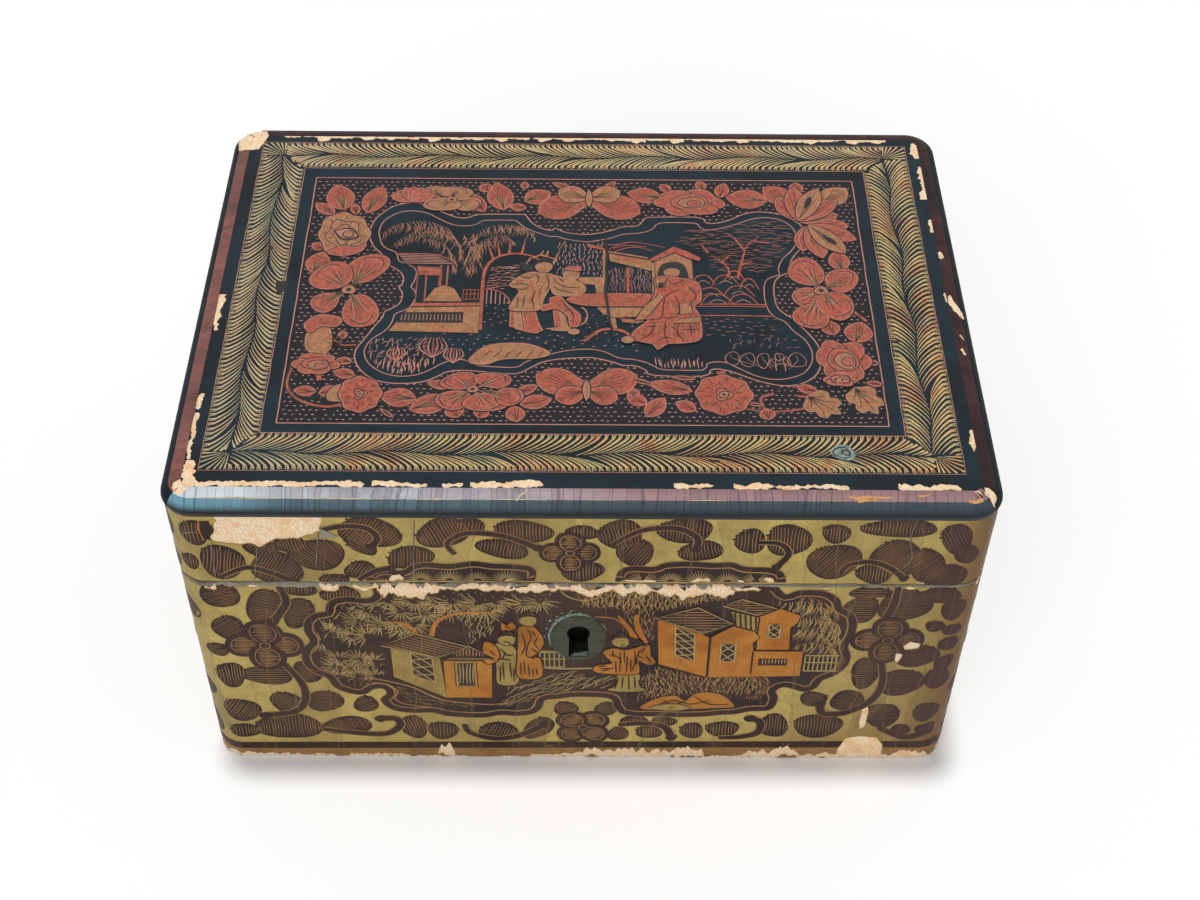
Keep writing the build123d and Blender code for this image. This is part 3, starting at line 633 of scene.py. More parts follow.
for side, (turn, half, distance) in sides.items():
    span = half + halfArc
    for part, skin in skins.items():
        key = side + part
        low, high = skin["foot"] + 0.05, skin["top"] - (0.05 if part == "Base" else 0)
        if side == "back":
            low = case["hingeLine"] + case["groove"] if part == "Lid" else low
            high = case["hingeLine"] - case["groove"] if part == "Base" else high
        surfaces[key] = wallSurface(side, skin["foot"], skin["top"], skin["footRound"], skin["topRound"])
        layer = newLayer(surfaces[key], openings(key))
        addShape(layer, plot(-span, span, low, high), coat["skin"], 0.02)
        ground = "goldGround" + {"front": "", "right": "Right", "back": "Back", "left": "Side"}[side]
        finishLayer(layer, f"{side}_{part.lower()}_lacquer", ground, skin["body"], "gold_lacquer")
        layGesso(f"{side}_{part.lower()}_gesso", key, low, high, skin["body"], "gold_lacquer")
    # moulding: black below, maroon above; on the front both bands carry painted reflections
    key = side + "Bead"
    surfaces[key] = beadSurface(side)
    split = bead["foot"] + 0.6 * bead["crownLength"]
    crest = bead["foot"] + bead["crownLength"]
    beads = {"front": ("blueBead", "maroonBead"), "back": ("backBlue", "backMaroon"),
        "left": ("sideBlue", "redBead")}.get(side, ("sideBlue", "sideMaroon"))
    for name, low, high, finish in (("outer", 0, split, beads[0]), ("inner", split, crest, beads[1])):
        layer = newLayer(surfaces[key], flakes[key])
        addShape(layer, plot(-span, span, low, high), coat["skin"], 0.02)
        finishLayer(layer, f"{side}_moulding_{name}", finish)
    # dark line along the moulding's undercut foot: painted shade
    layer = newLayer(surfaces[key], flakes[key])
    addStroke(layer, [(u, 0.95) for u in bendLines(side)], 1.85, coat["paint"])
    finishLayer(layer, f"{side}_moulding_foot_shade", "inkLine")
    if side == "front":
        # remains of a cream line between the two bands
        layer = newLayer(surfaces[key])
        for u0, u1, width in ((-110, -84, 0.6), (-83, -52, 0.5), (-50, -34, 0.6), (-31, -10, 0.3), (2, 9, 0.2),
                (30, 41, 0.2)):
            addStroke(layer, uv(u0, split, (u0 + u1) / 2, split + 0.12, u1, split), (0.1, width, 0.1),
                coat["paint"])
        addStroke(layer, uv(-18.8,6.4, -17.6,8.1, -15.6,9.3), (0.3, 0.7, 0.4), coat["figure"])
        finishLayer(layer, "front_moulding_cream", "creamLine")
        # maroon rubbed through, and dark strokes in the torn corner
        layer = newLayer(surfaces[key])
        for u0, u1, v, width in ((75.5, 88, 7.7, 1), (78, 84, 6.9, 0.6), (109.6, 114.6, 7, 1.5),
                (95, 99, 8.4, 0.5)):
            addShape(layer, raggedBand((u0, v), (u1, v + 0.3), -width / 2, width / 2, u0), coat["figure"])
        finishLayer(layer, "front_moulding_wear", "rubbedOrange")
        layer = newLayer(surfaces[key])
        for points in (uv(113.4,9.6, 114.8,8, 115.4,5.6), uv(116,9, 116.8,6.6, 117,4), uv(112.6,8.6, 113.6,7),
                uv(-113.2,1.6, -110,2, -104,1.5)):
            addStroke(layer, points, (0.3, 1.1, 0.3), coat["figure"])
        finishLayer(layer, "front_moulding_dirt", "brownFigure")
    layGesso(f"{side}_moulding_gesso", key, 0, crest)


def roundedOutline(halfU, halfV, radius, steps=6):
    made = []
    for turn, (su, sv) in enumerate(((1, 1), (-1, 1), (-1, -1), (1, -1))):
        for k in range(steps + 1):
            angle = pi / 2 * (turn + k / steps)
            made.append((su * (halfU - radius) + radius * cos(angle), sv * (halfV - radius) + radius * sin(angle)))
    return made


layer = newLayer(holes=flakes["top"])
addShape(layer, roundedOutline(*(case[k] - bead["inset"] for k in ("halfLength", "halfDepth", "cornerRound"))),
    coat["skin"], 0.02)
finishLayer(layer, "top_lacquer", "blackGround")
layer = newLayer()
for hole in flakes["top"]:
    addShape(layer, hole, coat["gesso"])
finishLayer(layer, "top_gesso", "gesso")
print("lacquer coats laid")


# the lid's top
feather = {"outer": (110, -75, 77.5), "inner": (94.5, -60, 64), "pitch": 1.9, "sweep": 8.4, "width": 0.7,
    "teeth": 0.25, "toothLength": 1.5, "plume": 36, "wave": 0.8}


def insideFrame(p):
    u, v = p
    outer, inner = feather["outer"], feather["inner"]
    return abs(u) < outer[0] and outer[1] < v < outer[2] and not (abs(u) < inner[0] and inner[1] < v < inner[2])


def featherBand(layer, start, end, inner, outer, seed):
    # barbs leave the quill along it, turn out to the edge and split into fine teeth
    vary = random.Random(seed).uniform
    length = dist(start, end)
    du, dv = (end[0] - start[0]) / length, (end[1] - start[1]) / length
    for way, half in ((1, inner), (-1, outer)):
        def place(along, out):
            return (start[0] + du * along - dv * way * out, start[1] + dv * along + du * way * out)

        def isKept(along, out):
            # the inner half is mitred, the outer half runs past the far corner
            low, high = (out, length - out) if way > 0 else (0, length)
            return low <= along <= high and insideFrame(place(along, out))
        s, split = -feather["sweep"], vary(10, 30)
        while s < length + outer:
            if s > split:
                # a new plume starts beside a short dark gap
                split = s + feather["plume"] * vary(0.6, 1.4)
            near = max(0, 1 - (split - s) / 7)
            root = 0.1 + 1.3 * near * near + vary(0, 0.3)
            root += way * feather["wave"] * sin(tau * s / feather["plume"] + 1.7 * seed)
            sweep = feather["sweep"] * (1 + 0.12 * sin(s / 17 + seed * 2 + way))
            tip = half - feather["toothLength"]
            line = []
            for k in range(12):
                t = k / 11
                line.append((s + sweep * t * (1.34 - 0.34 * t), root + (tip - root) * t ** 1.2))
            line = [place(*p) for p in line if isKept(*p)]
            width = feather["width"] * vary(0.75, 1.15)
            if len(line) > 2:
                addStroke(layer, line, (0.12, 0.4 * width, 0.62 * width, width, 1.1 * width), coat["paint"])
            for shift in (-0.5, 0.05, 0.55):
                along = s + sweep + shift + vary(-0.1, 0.1)
                tooth = uv(along - 0.35 - 0.5 * shift, tip - 0.5, along, half - vary(0, 0.5))
                if all(isKept(*p) for p in tooth):
                    addStroke(layer, [place(*p) for p in tooth], feather["teeth"], coat["paint"])
            s += feather["pitch"] * vary(0.85, 1.15)


def cornerFan(layer, corner, reachU, reachV):
    # barbs opening out to the corner of the border
    for k in range(8):
        a = radians(4 + 11.7 * k)
        c, s = cos(a), sin(a)
        far = min(abs(reachU) / c, abs(reachV) / s) - 0.3
        line = [(corner[0] + copysign(r * c, reachU),
            corner[1] + copysign(r * s, reachV)) for r in ((0.8 if k % 2 else 2.6), 0.55 * far, far)]
        addStroke(layer, line, (0.1, 0.34, 0.62), coat["paint"])


outerU, outerLow, outerHigh = feather["outer"]
innerU, innerLow, innerHigh = feather["inner"]
quill = {"left": -102, "right": 102, "front": -68, "back": 70.5}
corners = plot(quill["left"], quill["right"], quill["front"], quill["back"])
reaches = {  # from the quill to either edge
    "front": (innerLow - quill["front"], quill["front"] - outerLow),
    "right": (quill["right"] - innerU, outerU - quill["right"]),
    "back": (quill["back"] - innerHigh, outerHigh - quill["back"]),
    "left": (-innerU - quill["left"], quill["left"] + outerU),
}
for number, (name, (inner, outer)) in enumerate(reaches.items()):
    layer = newLayer()
    featherBand(layer, corners[number], corners[(number + 1) % 4], inner, outer, number)
    cornerU, cornerV = corners[number]
    cornerFan(layer, corners[number], copysign(outerU, cornerU) - cornerU,
        (outerLow if cornerV < 0 else outerHigh) - cornerV)
    finishLayer(layer, f"top_feather_{name}", "featherGold")
print("feather border painted")


layer = newLayer(holes=flakes["top"])
ruling = {"field": (-90, 90, -56.3, 58.4), "innerEdge": (-94.4, 94.4, -60.2, 63.6), "outerEdge": (-110, 110, -75.2,
    77.6)}
for name, width in (("field", 0.38), ("innerEdge", 0.22), ("outerEdge", 0.18)):
    corners = plot(*ruling[name])
    for a, b in zip(corners, corners[1:] + corners[:1]):
        pieces = max(1, round(dist(a, b) / 6))
        line = [(a[0] + (b[0] - a[0]) * k / pieces, a[1] + (b[1] - a[1]) * k / pieces) for k in range(pieces + 1)]
        line = [(u + random.Random(u * v).uniform(-0.12, 0.12), v) for u, v in line]
        addStroke(layer, line, width, coat["paint"])
# cusped frame round the garden, clockwise from the left
outerCusps = uv(-69.8,29.4, -68.9,35.6, -66.4,40, -62.6,43.8, -57,45.4, -52,44.4, -47,40.9, -42,38.1, -38.3,37.9,
    -34.5,39.6, -22,39.8, -19.3,39.4, -17.6,36.2, -14.5,33.1, -10.4,31.6, -9.6,33, -6,30.8, 0,29.8, 5,30.6, 10,32.4,
    12.5,33.8, 17.5,34.4, 20,38.1, 22.5,38.8, 37.5,38.8, 40,36.2, 43,35.9, 47.5,37.5, 52.5,40.6, 57.5,41.9,
    63.8,40.9, 68,38, 71.2,35, 71.9,29.4, 70.6,24.4, 67.5,19.4, 65.6,14.4, 65.7,11.9, 62.5,10, 60.6,6.9, 60,1.9,
    60.6,-4.4, 62.5,-7.5, 65.2,-10, 66,-11.9, 68.8,-15.6, 71.9,-21.9, 72.5,-28.1, 70.6,-34.4, 66.2,-38.4,
    61.2,-39.6, 56.2,-38.8, 51.2,-36.9, 45,-33.8, 41,-32.6, 38.6,-33, 36.2,-35.6, 21.2,-35.4, 18.8,-33.1,
    15.6,-31.4, 11.9,-31.2, 9.4,-30, 3.8,-28.2, 0,-28, -7,-28.6, -12,-29.9, -15.4,-32, -20.1,-35, -28.2,-34.6,
    -35.8,-33.8, -40.8,-34.4, -44.5,-36.9, -48.2,-38.8, -54.5,-39.6, -60.8,-38.8, -65.8,-35.6, -68.9,-30.6,
    -69.5,-25.6, -67,-19.9, -64.2,-13.9, -62.4,-10.4, -62,-7.9, -59.9,-6.4, -57.7,-4.2, -57,-1.2, -57.2,1.2,
    -58.3,3.4, -57.4,5, -57.2,7.8, -58.2,10.4, -60,12.4, -62.7,14.5, -63.3,17, -65.6,20.2, -68,23.4)
innerCusps = uv(-66.7,29.5, -66.5,33, -65.5,36.1, -63,38.9, -59.9,40.8, -56.1,41.2, -51.8,40.2, -48,37.6, -44.3,35,
    -40.5,33.8, -36.8,34, -34.3,35.3, -32.7,36.6, -22.4,36.7, -21.4,35.4, -18.7,32.6, -14.9,30.4, -10.8,28.7,
    -9,28.8, -5,27.2, 1,26.2, 5,27, 8.8,28.1, 12.5,30, 17.5,30.6, 21.2,31.9, 23.1,33.8, 25,35.9, 36.2,35.9,
    37.5,34.4, 39.4,32.6, 43.8,33.1, 50,35.6, 55,38.1, 60,39, 65,37.5, 68.4,33.5, 69.1,28.1, 67.5,23.1, 63.8,18.1,
    62.1,13.1, 62.4,10.8, 58.8,8.8, 57.2,5.6, 57,-1.9, 58.1,-6.9, 60,-9.6, 62.6,-11.4, 65,-15.6, 68.1,-19.4,
    69.8,-24.4, 69.4,-29.4, 66.9,-33.8, 62.5,-36.2, 57.5,-36.9, 52.5,-35.6, 47.5,-32.5, 43.8,-30, 40.6,-29.4,
    37.5,-30.4, 36.2,-33, 24.4,-33, 21.9,-31.8, 18.8,-29.8, 15,-28.6, 10.8,-28, 6.2,-25.2, 1,-24.2, -5.5,-25,
    -11,-27, -14.9,-28.5, -18,-30.4, -20.5,-32.3, -29.3,-32, -33,-31.4, -36.2,-29.2, -39.9,-29.5, -43,-31,
    -46.1,-33.5, -49.9,-35.7, -54.3,-36.5, -58,-36, -61.7,-34.2, -65.2,-30.7, -66.7,-26.7, -66.4,-23.5, -64.9,-20.4,
    -60.8,-16, -59.3,-12.3, -58.6,-8.9, -56.1,-7.3, -54.4,-5.8, -53.1,-2.9, -52.7,-0.5, -53.3,2, -54.6,3.9,
    -53.7,6.4, -53.3,10.8, -54.3,13, -56.4,14.5, -59.2,16.1, -59.8,18, -60.6,20.4, -63,21.8, -65.3,24.2)
frameOutline = curve(outerCusps, 1.2, closed=True)
innerOutline = curve(innerCusps, 1.2, closed=True)
addStroke(layer, frameOutline, 0.42, coat["paint"], True)
addStroke(layer, innerOutline, 0.36, coat["paint"], True)
finishLayer(layer, "top_ruling", "pinkLine")
layer = newLayer(holes=[frameOutline])
addShape(layer, plot(*ruling["field"]), coat["skin"] + unevenness)
finishLayer(layer, "top_field_wash", "fieldWash")
# dashes in staggered rows
layer = newLayer()
chance = random.Random(3)
rowGap, dashGap = 1.85, 2
u0, u1, v0, v1 = ruling["field"]
row, v = 0, v0 + 1.6
while v < v1 - 1.2:
    u = u0 + 1.5 + (row % 2) * dashGap / 2
    while u < u1 - 1.2:
        place = (u + chance.uniform(-0.25, 0.25), v + chance.uniform(-0.25, 0.25))
        if not isInside(place, frameOutline) and chance.random() < 0.93:
            lean = chance.uniform(-0.3, 0.3)
            size = chance.uniform(0.25, 0.48)
            dash = uv(place[0] - size, place[1] - size * lean, place[0] + size, place[1] + size * lean)
            addStroke(layer, dash, (0.3, 0.6, 0.3), coat["paint"])
        u += dashGap
    row, v = row + 1, v + rowGap
finishLayer(layer, "top_dashes", "pinkDash")
print("ruling and field painted")


# flowers and leaves
def placed(outline, u, v, turn=0, scale=1):
    c, s = cos(radians(turn)) * scale, sin(radians(turn)) * scale
    return [(u + x * c - y * s, v + x * s + y * c) for x, y in outline]


def petal(length, width, belly=1, roundness=0.8):
    # from the root up to the tip; belly over 1 moves the widest part up
    right = [(width / 2 * sin(pi * (k / 9) ** belly) ** roundness, length * (k / 9)) for k in range(10)]
    return right[:-1] + [(-x, y) for x, y in reversed(right)][:-1]


def disc(width, height=None, wobble=0, seed=0, steps=20):
    vary = random.Random(seed).uniform
    phase, second = vary(0, 6), vary(0, 6)
    made = []
    for k in range(steps):
        a = 2 * pi * k / steps
        r = 0.5 * (1 + wobble * sin(2 * a + phase) + wobble * sin(3 * a + second))
        made.append((r * width * cos(a), r * (height or width) * sin(a)))
    return made


# what is being painted: a layer for each colour
easel = {"paint": {n: newLayer(holes=flakes["top"]) for n in ("red", "dust", "ink", "edge")}, "ground": 0.4,
    "clip": moveOut(innerOutline, -0.4)}
step = 0.05  # one figure over another
fold = (0.2, 0.42, 0.2)  # thin, thicker, thin: a line inside a robe


def fill(tone, outline, level=0):
    addShape(easel["paint"][tone], outline, coat["figure"] + step * level)


def line(tone, points, width, level, smooth=1, closed=False):
    points = curve(points, smooth, closed) if smooth else points
    addStroke(easel["paint"][tone], points, width, coat["figure"] + step * level, closed)


def patch(outline, tone, level, edge="edge", gap=0.35):
    # dark gap round it, the colour, a thin gold line along its edge
    fill("ink", moveOut(outline, gap), level)
    fill(tone, outline, level + 0.5)
    if edge:
        line(edge, moveOut(outline, -0.25), 0.22, level + 0.8, 0, True)


def roundPatch(tone, level, smooth, *numbers):
    patch(curve(uv(*numbers), smooth, True), tone, level)


def strokes(tone, width, level, *paths):
    for path in paths:
        line(tone, uv(*path), width, level)


def veins(u, v, turn, length, width, level, count=2, tone="ink", size=0.26):
    for k in range(-count, count + 1):
        lean = k / (count + 0.6)
        fan = uv(0, 0.06 * length, 0.16 * lean * width, 0.4 * length, 0.36 * lean * width,
            (0.86 - 0.2 * abs(lean)) * length)
        line(tone, placed(fan, u, v, turn), (0.12, size, 0.1), level + 0.9)


def blush(u, v, turn, length, width, level):
    # the other tone, breathed in from the root
    rays = []
    for k in range(7):
        lean = (k - 3) / 3.4
        size = length * (0.62 if k % 2 else 0.42) * (1 - 0.25 * abs(lean))
        rays.append((lean * width * 0.42 * size / length * 1.5, size))
    fill("dust", placed([(0, 0.05 * length)] + rays[::-1], u, v, turn), level + 0.7)


def leaf(u, v, width, length, turn, tone="red", level=0):
    # by its middle; turn leans the tip to the left
    du, dv = sin(radians(turn)) * length / 2, -cos(radians(turn)) * length / 2
    patch(placed(petal(length, width, 0.92, 0.75), u + du, v + dv, turn), tone, level)
    if width > 6 and tone == "red":
        blush(u + du, v + dv, turn, length, width, level)
    veins(u + du, v + dv, turn, length, width, level, 1 if width < 7 else 2)


def blossom(u, v, petals, tone, level, heart):
    # petals by middle, width, height and turn
    for k, (du, dv, width, height, turn) in enumerate(petals):
        over = level + 0.6 * k
        patch(placed(disc(width, height, 0.05, k), u + du, v + dv, turn), tone, over)
        size = hypot(du, dv) + 0.3 * min(width, height)
        aim = degrees(atan2(-du, dv))
        blush(u, v, aim, size * 1.25, 0.8 * min(width, height), over)
        # a fold inside the petal's outer edge
        for tint, shrink, size0 in (("ink", 0.74, 0.34), ("edge", 0.64, 0.24)):
            arc = placed(disc(shrink * width, shrink * height, 0.09, k + 5, 30), u + du, v + dv, turn)
            far = max(range(len(arc)), key=lambda i: dist(arc[i], (u, v)))
            line(tint, [arc[(far + i) % len(arc)] for i in range(-7 + k % 3, 6 + k % 2)], (0.1, size0, 0.12),
                over + 0.9)
        veins(u, v, aim, size * 1.1, 0.9 * min(width, height), over, 2, "ink", 0.34)
        veins(u, v, aim, size * 1.3, 1.2 * min(width, height), over, 1, "edge", 0.26)
    top = level + 0.6 * len(petals)
    patch(placed(disc(heart, heart, 0.08, 3), u, v), "dust", top)
    fill("ink", placed(disc(heart * 0.4), u, v), top + 0.9)


def rose(u, v, width, height, tone, level, seed):
    vary = random.Random(seed).uniform
    for k in range(6):
        a = radians(60 * k + vary(-14, 14))
        x, y = 0.28 * width * cos(a), 0.28 * height * sin(a)
        patch(placed(disc(0.5 * width, 0.5 * height, 0.06, seed + k), u + x, v + y), tone, level + 0.5 * k)
    for k, size in enumerate((0.56, 0.38, 0.2)):
        ring = placed(disc(size * width, size * height, 0.05, seed + 9 + k), u + 0.7 * k, v - 0.4 * k)
        patch(ring, "dust" if k == 1 else tone, level + 3 + 0.6 * k)


def peony(u, v, width, height, turn, tone, level, folds=((0.3, 3, 0.12, 0.3),)):
    # one ruffled bloom with folds and an eye in the other tone
    def ring(size, waves, deep, phase):
        return [(0.5 * size * width * (1 + deep * (cos(waves * a + phase) + 0.5 * sin(3 * a + 2 * phase))) * cos(a),
            0.5 * size * height * (1 + deep * (cos(waves * a + phase) + 0.5 * cos(3 * a))) * sin(a))
            for a in (radians(6 * k) for k in range(60))]
    patch(placed(ring(1, 8, 0.045, 0.5), u, v, turn), tone, level)
    for fold in folds:
        line("ink", placed(ring(*fold), u, v, turn), (0.16, 0.4, 0.2, 0.36, 0.16), level + 1, 0, True)
        line("edge", placed(ring(fold[0] - 0.07, *fold[1:]), u, v, turn), 0.22, level + 1.1, 0, True)
    for k in range(16):
        a = radians(22.5 * k + 9)
        r0, r1 = (0.66, 0.9) if k % 2 else (0.42, 0.7)
        line("ink", placed([(0.5 * r * width * cos(a + shift), 0.5 * r * height * sin(a + shift)) for r,
            shift in ((r0, 0), (0.5 * (r0 + r1), 0.05), (r1, 0.03))], u, v, turn), (0.1, 0.32, 0.1), level + 1, 0)
    patch(placed(disc(0.17 * width, 0.14 * height, 0.1, 2), u, v, turn), "dust" if tone == "red" else "red",
        level + 1.6)
    fill("ink", placed(disc(0.06 * width), u, v), level + 2.6)


def ivy(u, v, width, length, turn):
    shape = uv(0,-0.5, 0.16,-0.44, 0.42,-0.36, 0.5,-0.14, 0.36,-0.02, 0.46,0.14, 0.36,0.34, 0.17,0.32, 0,0.52)
    half = [(x * width, y * length) for x, y in shape]
    outline = half + [(-x, y) for x, y in half[-2:0:-1]]
    patch(placed(curve(outline, 0.9, True), u, v, turn), "dust", 0)
    for x, y in ((0, 0.42), (0.34, -0.16), (-0.34, -0.16), (0.3, 0.2), (-0.3, 0.2)):
        line("ink", placed(uv(0, -0.45 * length, 0.4 * x * width, (0.5 * y - 0.2) * length, x * width, y * length),
            u, v, turn), (0.4, 0.3, 0.12), 0.9)


def stem(points, width=0.8):
    line("ink", points, width + 0.6, 0)
    line("red", points, (width * 0.6, width, width * 1.2), 0.5)


def butterfly(u, v, turn, small, size):
    for way in (-1, 1):
        for aim, length, width, level in ((way * 66, 15 * size, 10 * size, 0), (way * 112, 9 * size, 7 * size,
                1.2)):
            patch(placed(petal(length, width, 1.25, 0.6), u, v, turn - aim), small if level else "red", level)
            blush(u, v, turn - aim, 0.7 * length, 0.6 * width, level)
            veins(u, v, turn - aim, length, width, level, 2)
        line("edge", placed(uv(0, 2, way * 2, 5, way * 5, 6.5), u, v, turn), 0.3, 2)
    patch(placed(petal(9, 2.2), *placed([(0, -4.5)], u, v, turn)[0], turn), "dust", 3)


def lily(u, v, width, height, turn, tone, level):
    # pointed petals round a golden throat
    base = placed([(0, -height * 0.42)], u, v, turn)[0]
    for k, (lean, size) in enumerate(((-50, 0.75), (50, 0.75), (-26, 0.95), (26, 0.95), (0, 1))):
        length, over = height * 0.9 * size, level + 0.6 * k
        patch(placed(petal(length, width * 0.42, 1.1, 0.7), *base, turn + lean), "dust" if k == 4 else tone, over)
        veins(*base, turn + lean, length, width * 0.42, over, 1)
        line("edge", placed(uv(0.06 * width, 0.2 * length, 0.12 * width, 0.5 * length, 0.03 * width, 0.9 * length),
            *base, turn + lean), 0.24, over + 0.9)
    slit = placed([(0, -0.1 * height)], u, v, turn)[0]
    fill("ink", placed(petal(0.34 * height, 0.12 * width, 1.2, 0.8), *slit, turn + 6), level + 5)


# garland round the garden: leaves by middle, width, length, turn and tone
for row in ((-81,48, 9.5,14, 16), (-69.5,47, 8,15, -16), (-85.5,42, 5,9, 50), (-75.5,42, 3.4,6, 10),
        (-85,15, 8,11, -12), (-86,23, 4,5, 50), (-74,-18.5, 3,4, 0), (-72.5,-30, 3.4,5, 80), (-72,-35.5, 4.5,7, 76),
        (-83,-43, 4.5,7, 84), (-75.5,-43, 5,7, -70), (-58,-52, 1.6,6, 50), (-55,-45.5, 8,11, 84),
        (-45,-48, 8,14, -68), (-43,-40, 4,8, 76), (-38,-51, 6,6, 20), (-30,-51.5, 5,5, -20), (-20,-52, 6,7, 12),
        (-14,-47, 6,10, -76), (-17,-42, 4,8, -60), (26,-40.5, 6,14, 76), (16,-46, 5,7, 60), (21.5,-49, 6,10, -35),
        (15,-43, 4,4, 0), (30.5,-48.5, 5,7, 60), (54.5,-51.5, 5,5, 10), (67,-41, 4,7, 70), (76.5,-14, 6,7, 12),
        (85,-16, 9,10, -16), (88,-29.5, 2.4,4, 80), (87.5,-38.5, 2.6,5, 80), (82,17.5, 7,10, 6),
        (83.5,50.5, 9,12, -48, "dust"), (64.5,50.5, 9,13, 46), (71,54.5, 5,6, 0), (54,48.5, 10,14, 84),
        (46,53, 5,8, -14), (39,55.5, 4,5, 20), (20,50, 8,12, 76), (27,54, 4,5, 40), (-15.5,49, 8,10, -60),
        (-22,43.5, 4,6, 80), (-20,55, 3,4, 0), (-28,49, 9,15, 12), (-36,46, 6,12, 32), (-33,53.5, 5,5, 30),
        (8.5,55, 3,6, -40), (-7,54.5, 3,9, 62), (51,-47.5, 1.6,6, 80), (85,8.5, 2,7, -30), (30,-36.5, 2,8, 84),
        (17,-38, 2,9, 70)):
    leaf(*row)
ivy(84.2, -45.6, 10, 12.5, -152)
ivy(71.4, -47.6, 10.5, 12, -128)
peony(-78, 29, 16.5, 22, 8, "dust", 1, ((0.66, 5, 0.1, 2.4), (0.42, 4, 0.14, 1)))
fill("ink", placed(petal(9, 6.4, 1, 1), -81.4, 30.4, -108), 5)
fill("edge", placed(petal(7.6, 4.8, 1, 1), -80.8, 30.2, -108), 5.4)
fill("ink", placed(disc(3.9), -76.6, 28.8), 5.7)
patch(placed(disc(3), -76.6, 28.8), "dust", 6)
roundPatch("red", 3, 1.2, -82.6,19.5, -77,18.2, -71.6,20.4, -70.4,24.4, -74.4,22.6, -78.4,23.2)
blossom(-74, 2, ((5, 10.5, 12, 15, -40), (-6, 6.5, 14, 13, 30), (-7, -6, 9, 9, 0), (4.5, -10, 11, 16, 10)), "red",
    1, 4)
roundPatch("red", 2, 1.5, -86.5,-14, -82,-9.5, -75,-11, -76,-15, -81,-15, -84,-18)
roundPatch("dust", 1, 1.5, -84.5,-16, -78.5,-15, -77,-25, -81,-28, -85,-24)
for k in range(5):
    line("ink", uv(-78, -19 - 1.8 * k, -76.5, -18.5 - 1.6 * k, -74.5, -20 - 1.4 * k), 0.25, 3)
rose(-81, -31.5, 14, 9, "red", 1, 3)
line("red", uv(-80,-35, -79,-38.5), 1.6, 1)
stem(uv(-88,-33, -88.5,-41, -84,-47, -76,-49.5, -70,-48))
stem(uv(-77,-20, -74,-23, -69.5,-23), 0.5)
patch(placed(disc(6, 8, 0.1, 3), -73, -44.2), "dust", 1)
peony(-66.4, -44.3, 12.6, 15, 8, "red", 2)
blossom(-33, -42, ((-4, 3.5, 12, 7, 10), (6, 4, 11, 7, -10), (-5.5, -4.5, 11, 8, 0), (4, -5.5, 13, 8, 0),
    (11, -3, 8, 8, 0)), "red", 1, 3)
butterfly(1, -42.2, 0, "red", 1.12)
peony(42, -43.6, 17, 16.5, 0, "red", 1)
line("red", uv(42,-36, 41.5,-33.5), 2.6, 1)
stem(uv(48,-49.5, 56,-50.5, 66,-49, 69,-45, 64,-44), 0.7)
stem(uv(54,-50, 53,-45, 57,-43), 0.9)
rose(79, -28.5, 16, 18, "red", 1, 7)
rose(77.5, -37, 10, 6, "red", 3, 8)
blossom(75, 3, ((-4, 9, 12, 13, 20), (7, 5, 10, 12, -20), (-5, -3, 9, 9, 0), (-4, -12, 11, 12, -20),
    (4, -7, 11, 14, 20)), "red", 1, 4)
stem(uv(80,-1, 84,-6, 88,-11), 0.8)
lily(78.6, 28.6, 17, 20, 218, "red", 1)
lily(74, 45, 17, 21, -25, "red", 1)
rose(35, 46.5, 22, 14, "red", 1, 11)
butterfly(1.6, 48, 180, "dust", 1.24)
blossom(-44, 47, ((-6, 4, 10, 6, 0), (1, 4, 12, 6, -10), (5, -2, 10, 7, 0), (-3, -2.5, 12, 7, 0)), "dust", 1, 3)
for k in range(7):
    patch(placed(petal(8.5, 4, 1.3, 0.7), -57, 45.5, 60 - 20 * k), "red", 0.4 * k)
print("garland painted")


# the garden inside the frame
def robedFigure(u, v, height, facing, tone, level):
    # a small standing figure: plain round head, cap, sleeves and folds
    def local(points):
        return placed([(facing * x * height, y * height) for x, y in points], u, v)
    robe = uv(-0.09,0.78, 0.08,0.78, 0.14,0.6, 0.11,0.45, 0.17,0.1, 0.19,0, -0.19,0, -0.16,0.12, -0.12,0.45,
        -0.15,0.6)
    patch(curve(local(robe), 1, True), tone, level)
    patch(local(uv(0.02,0.74, 0.1,0.7, 0.27,0.5, 0.24,0.4, 0.14,0.42, 0,0.55)), tone, level + 1)
    patch(local(uv(-0.04,0.74, -0.12,0.68, -0.2,0.45, -0.1,0.38, 0.02,0.5)), tone, level + 1.2)
    head = local([(0.01, 0.88)])[0]
    patch(placed(disc(0.17 * height, 0.19 * height), *head), "dust", level + 2, "")
    fill("ink", local(uv(-0.09,0.88, -0.07,0.98, 0.02,1.02, 0.1,0.94, 0.02,0.93, -0.04,0.86)), level + 3)
    line("ink", local(uv(0,0.78, 0.03,0.66, 0,0.45)), 0.3, level + 3)
    for k in (-0.1, -0.03, 0.05, 0.11):
        line("ink", local(uv(0.5 * k, 0.42, 0.8 * k, 0.2, k, 0.02)), (0.15, 0.32, 0.2), level + 1.8)
    line("ink", local(uv(-0.11,0.44, 0,0.41, 0.1,0.45)), 0.35, level + 1.8)


def crownOfHair(u, v, width, level, turn):
    # hair drawn up into a knot, over a plain head
    fill("ink", placed(uv(-0.5 * width, 0.02 * width, -0.47 * width, 0.3 * width, -0.2 * width, 0.53 * width,
        0.2 * width, 0.53 * width, 0.47 * width, 0.3 * width, 0.5 * width, 0.02 * width, 0.3 * width, 0.24 * width,
        0, 0.3 * width, -0.3 * width, 0.24 * width), u, v, turn), level)
    fill("ink", placed(disc(0.34 * width), *placed([(0, 0.62 * width)], u, v, turn)[0]), level)


def twig(tone, path, width):
    # a stroke kept inside the frame
    if easel["clip"] and not all(isInside(p, easel["clip"]) for p in (path[0], path[-1])):
        return
    line(tone, path, (0.5 * width, width, 0.3 * width), easel["ground"], 1.2)


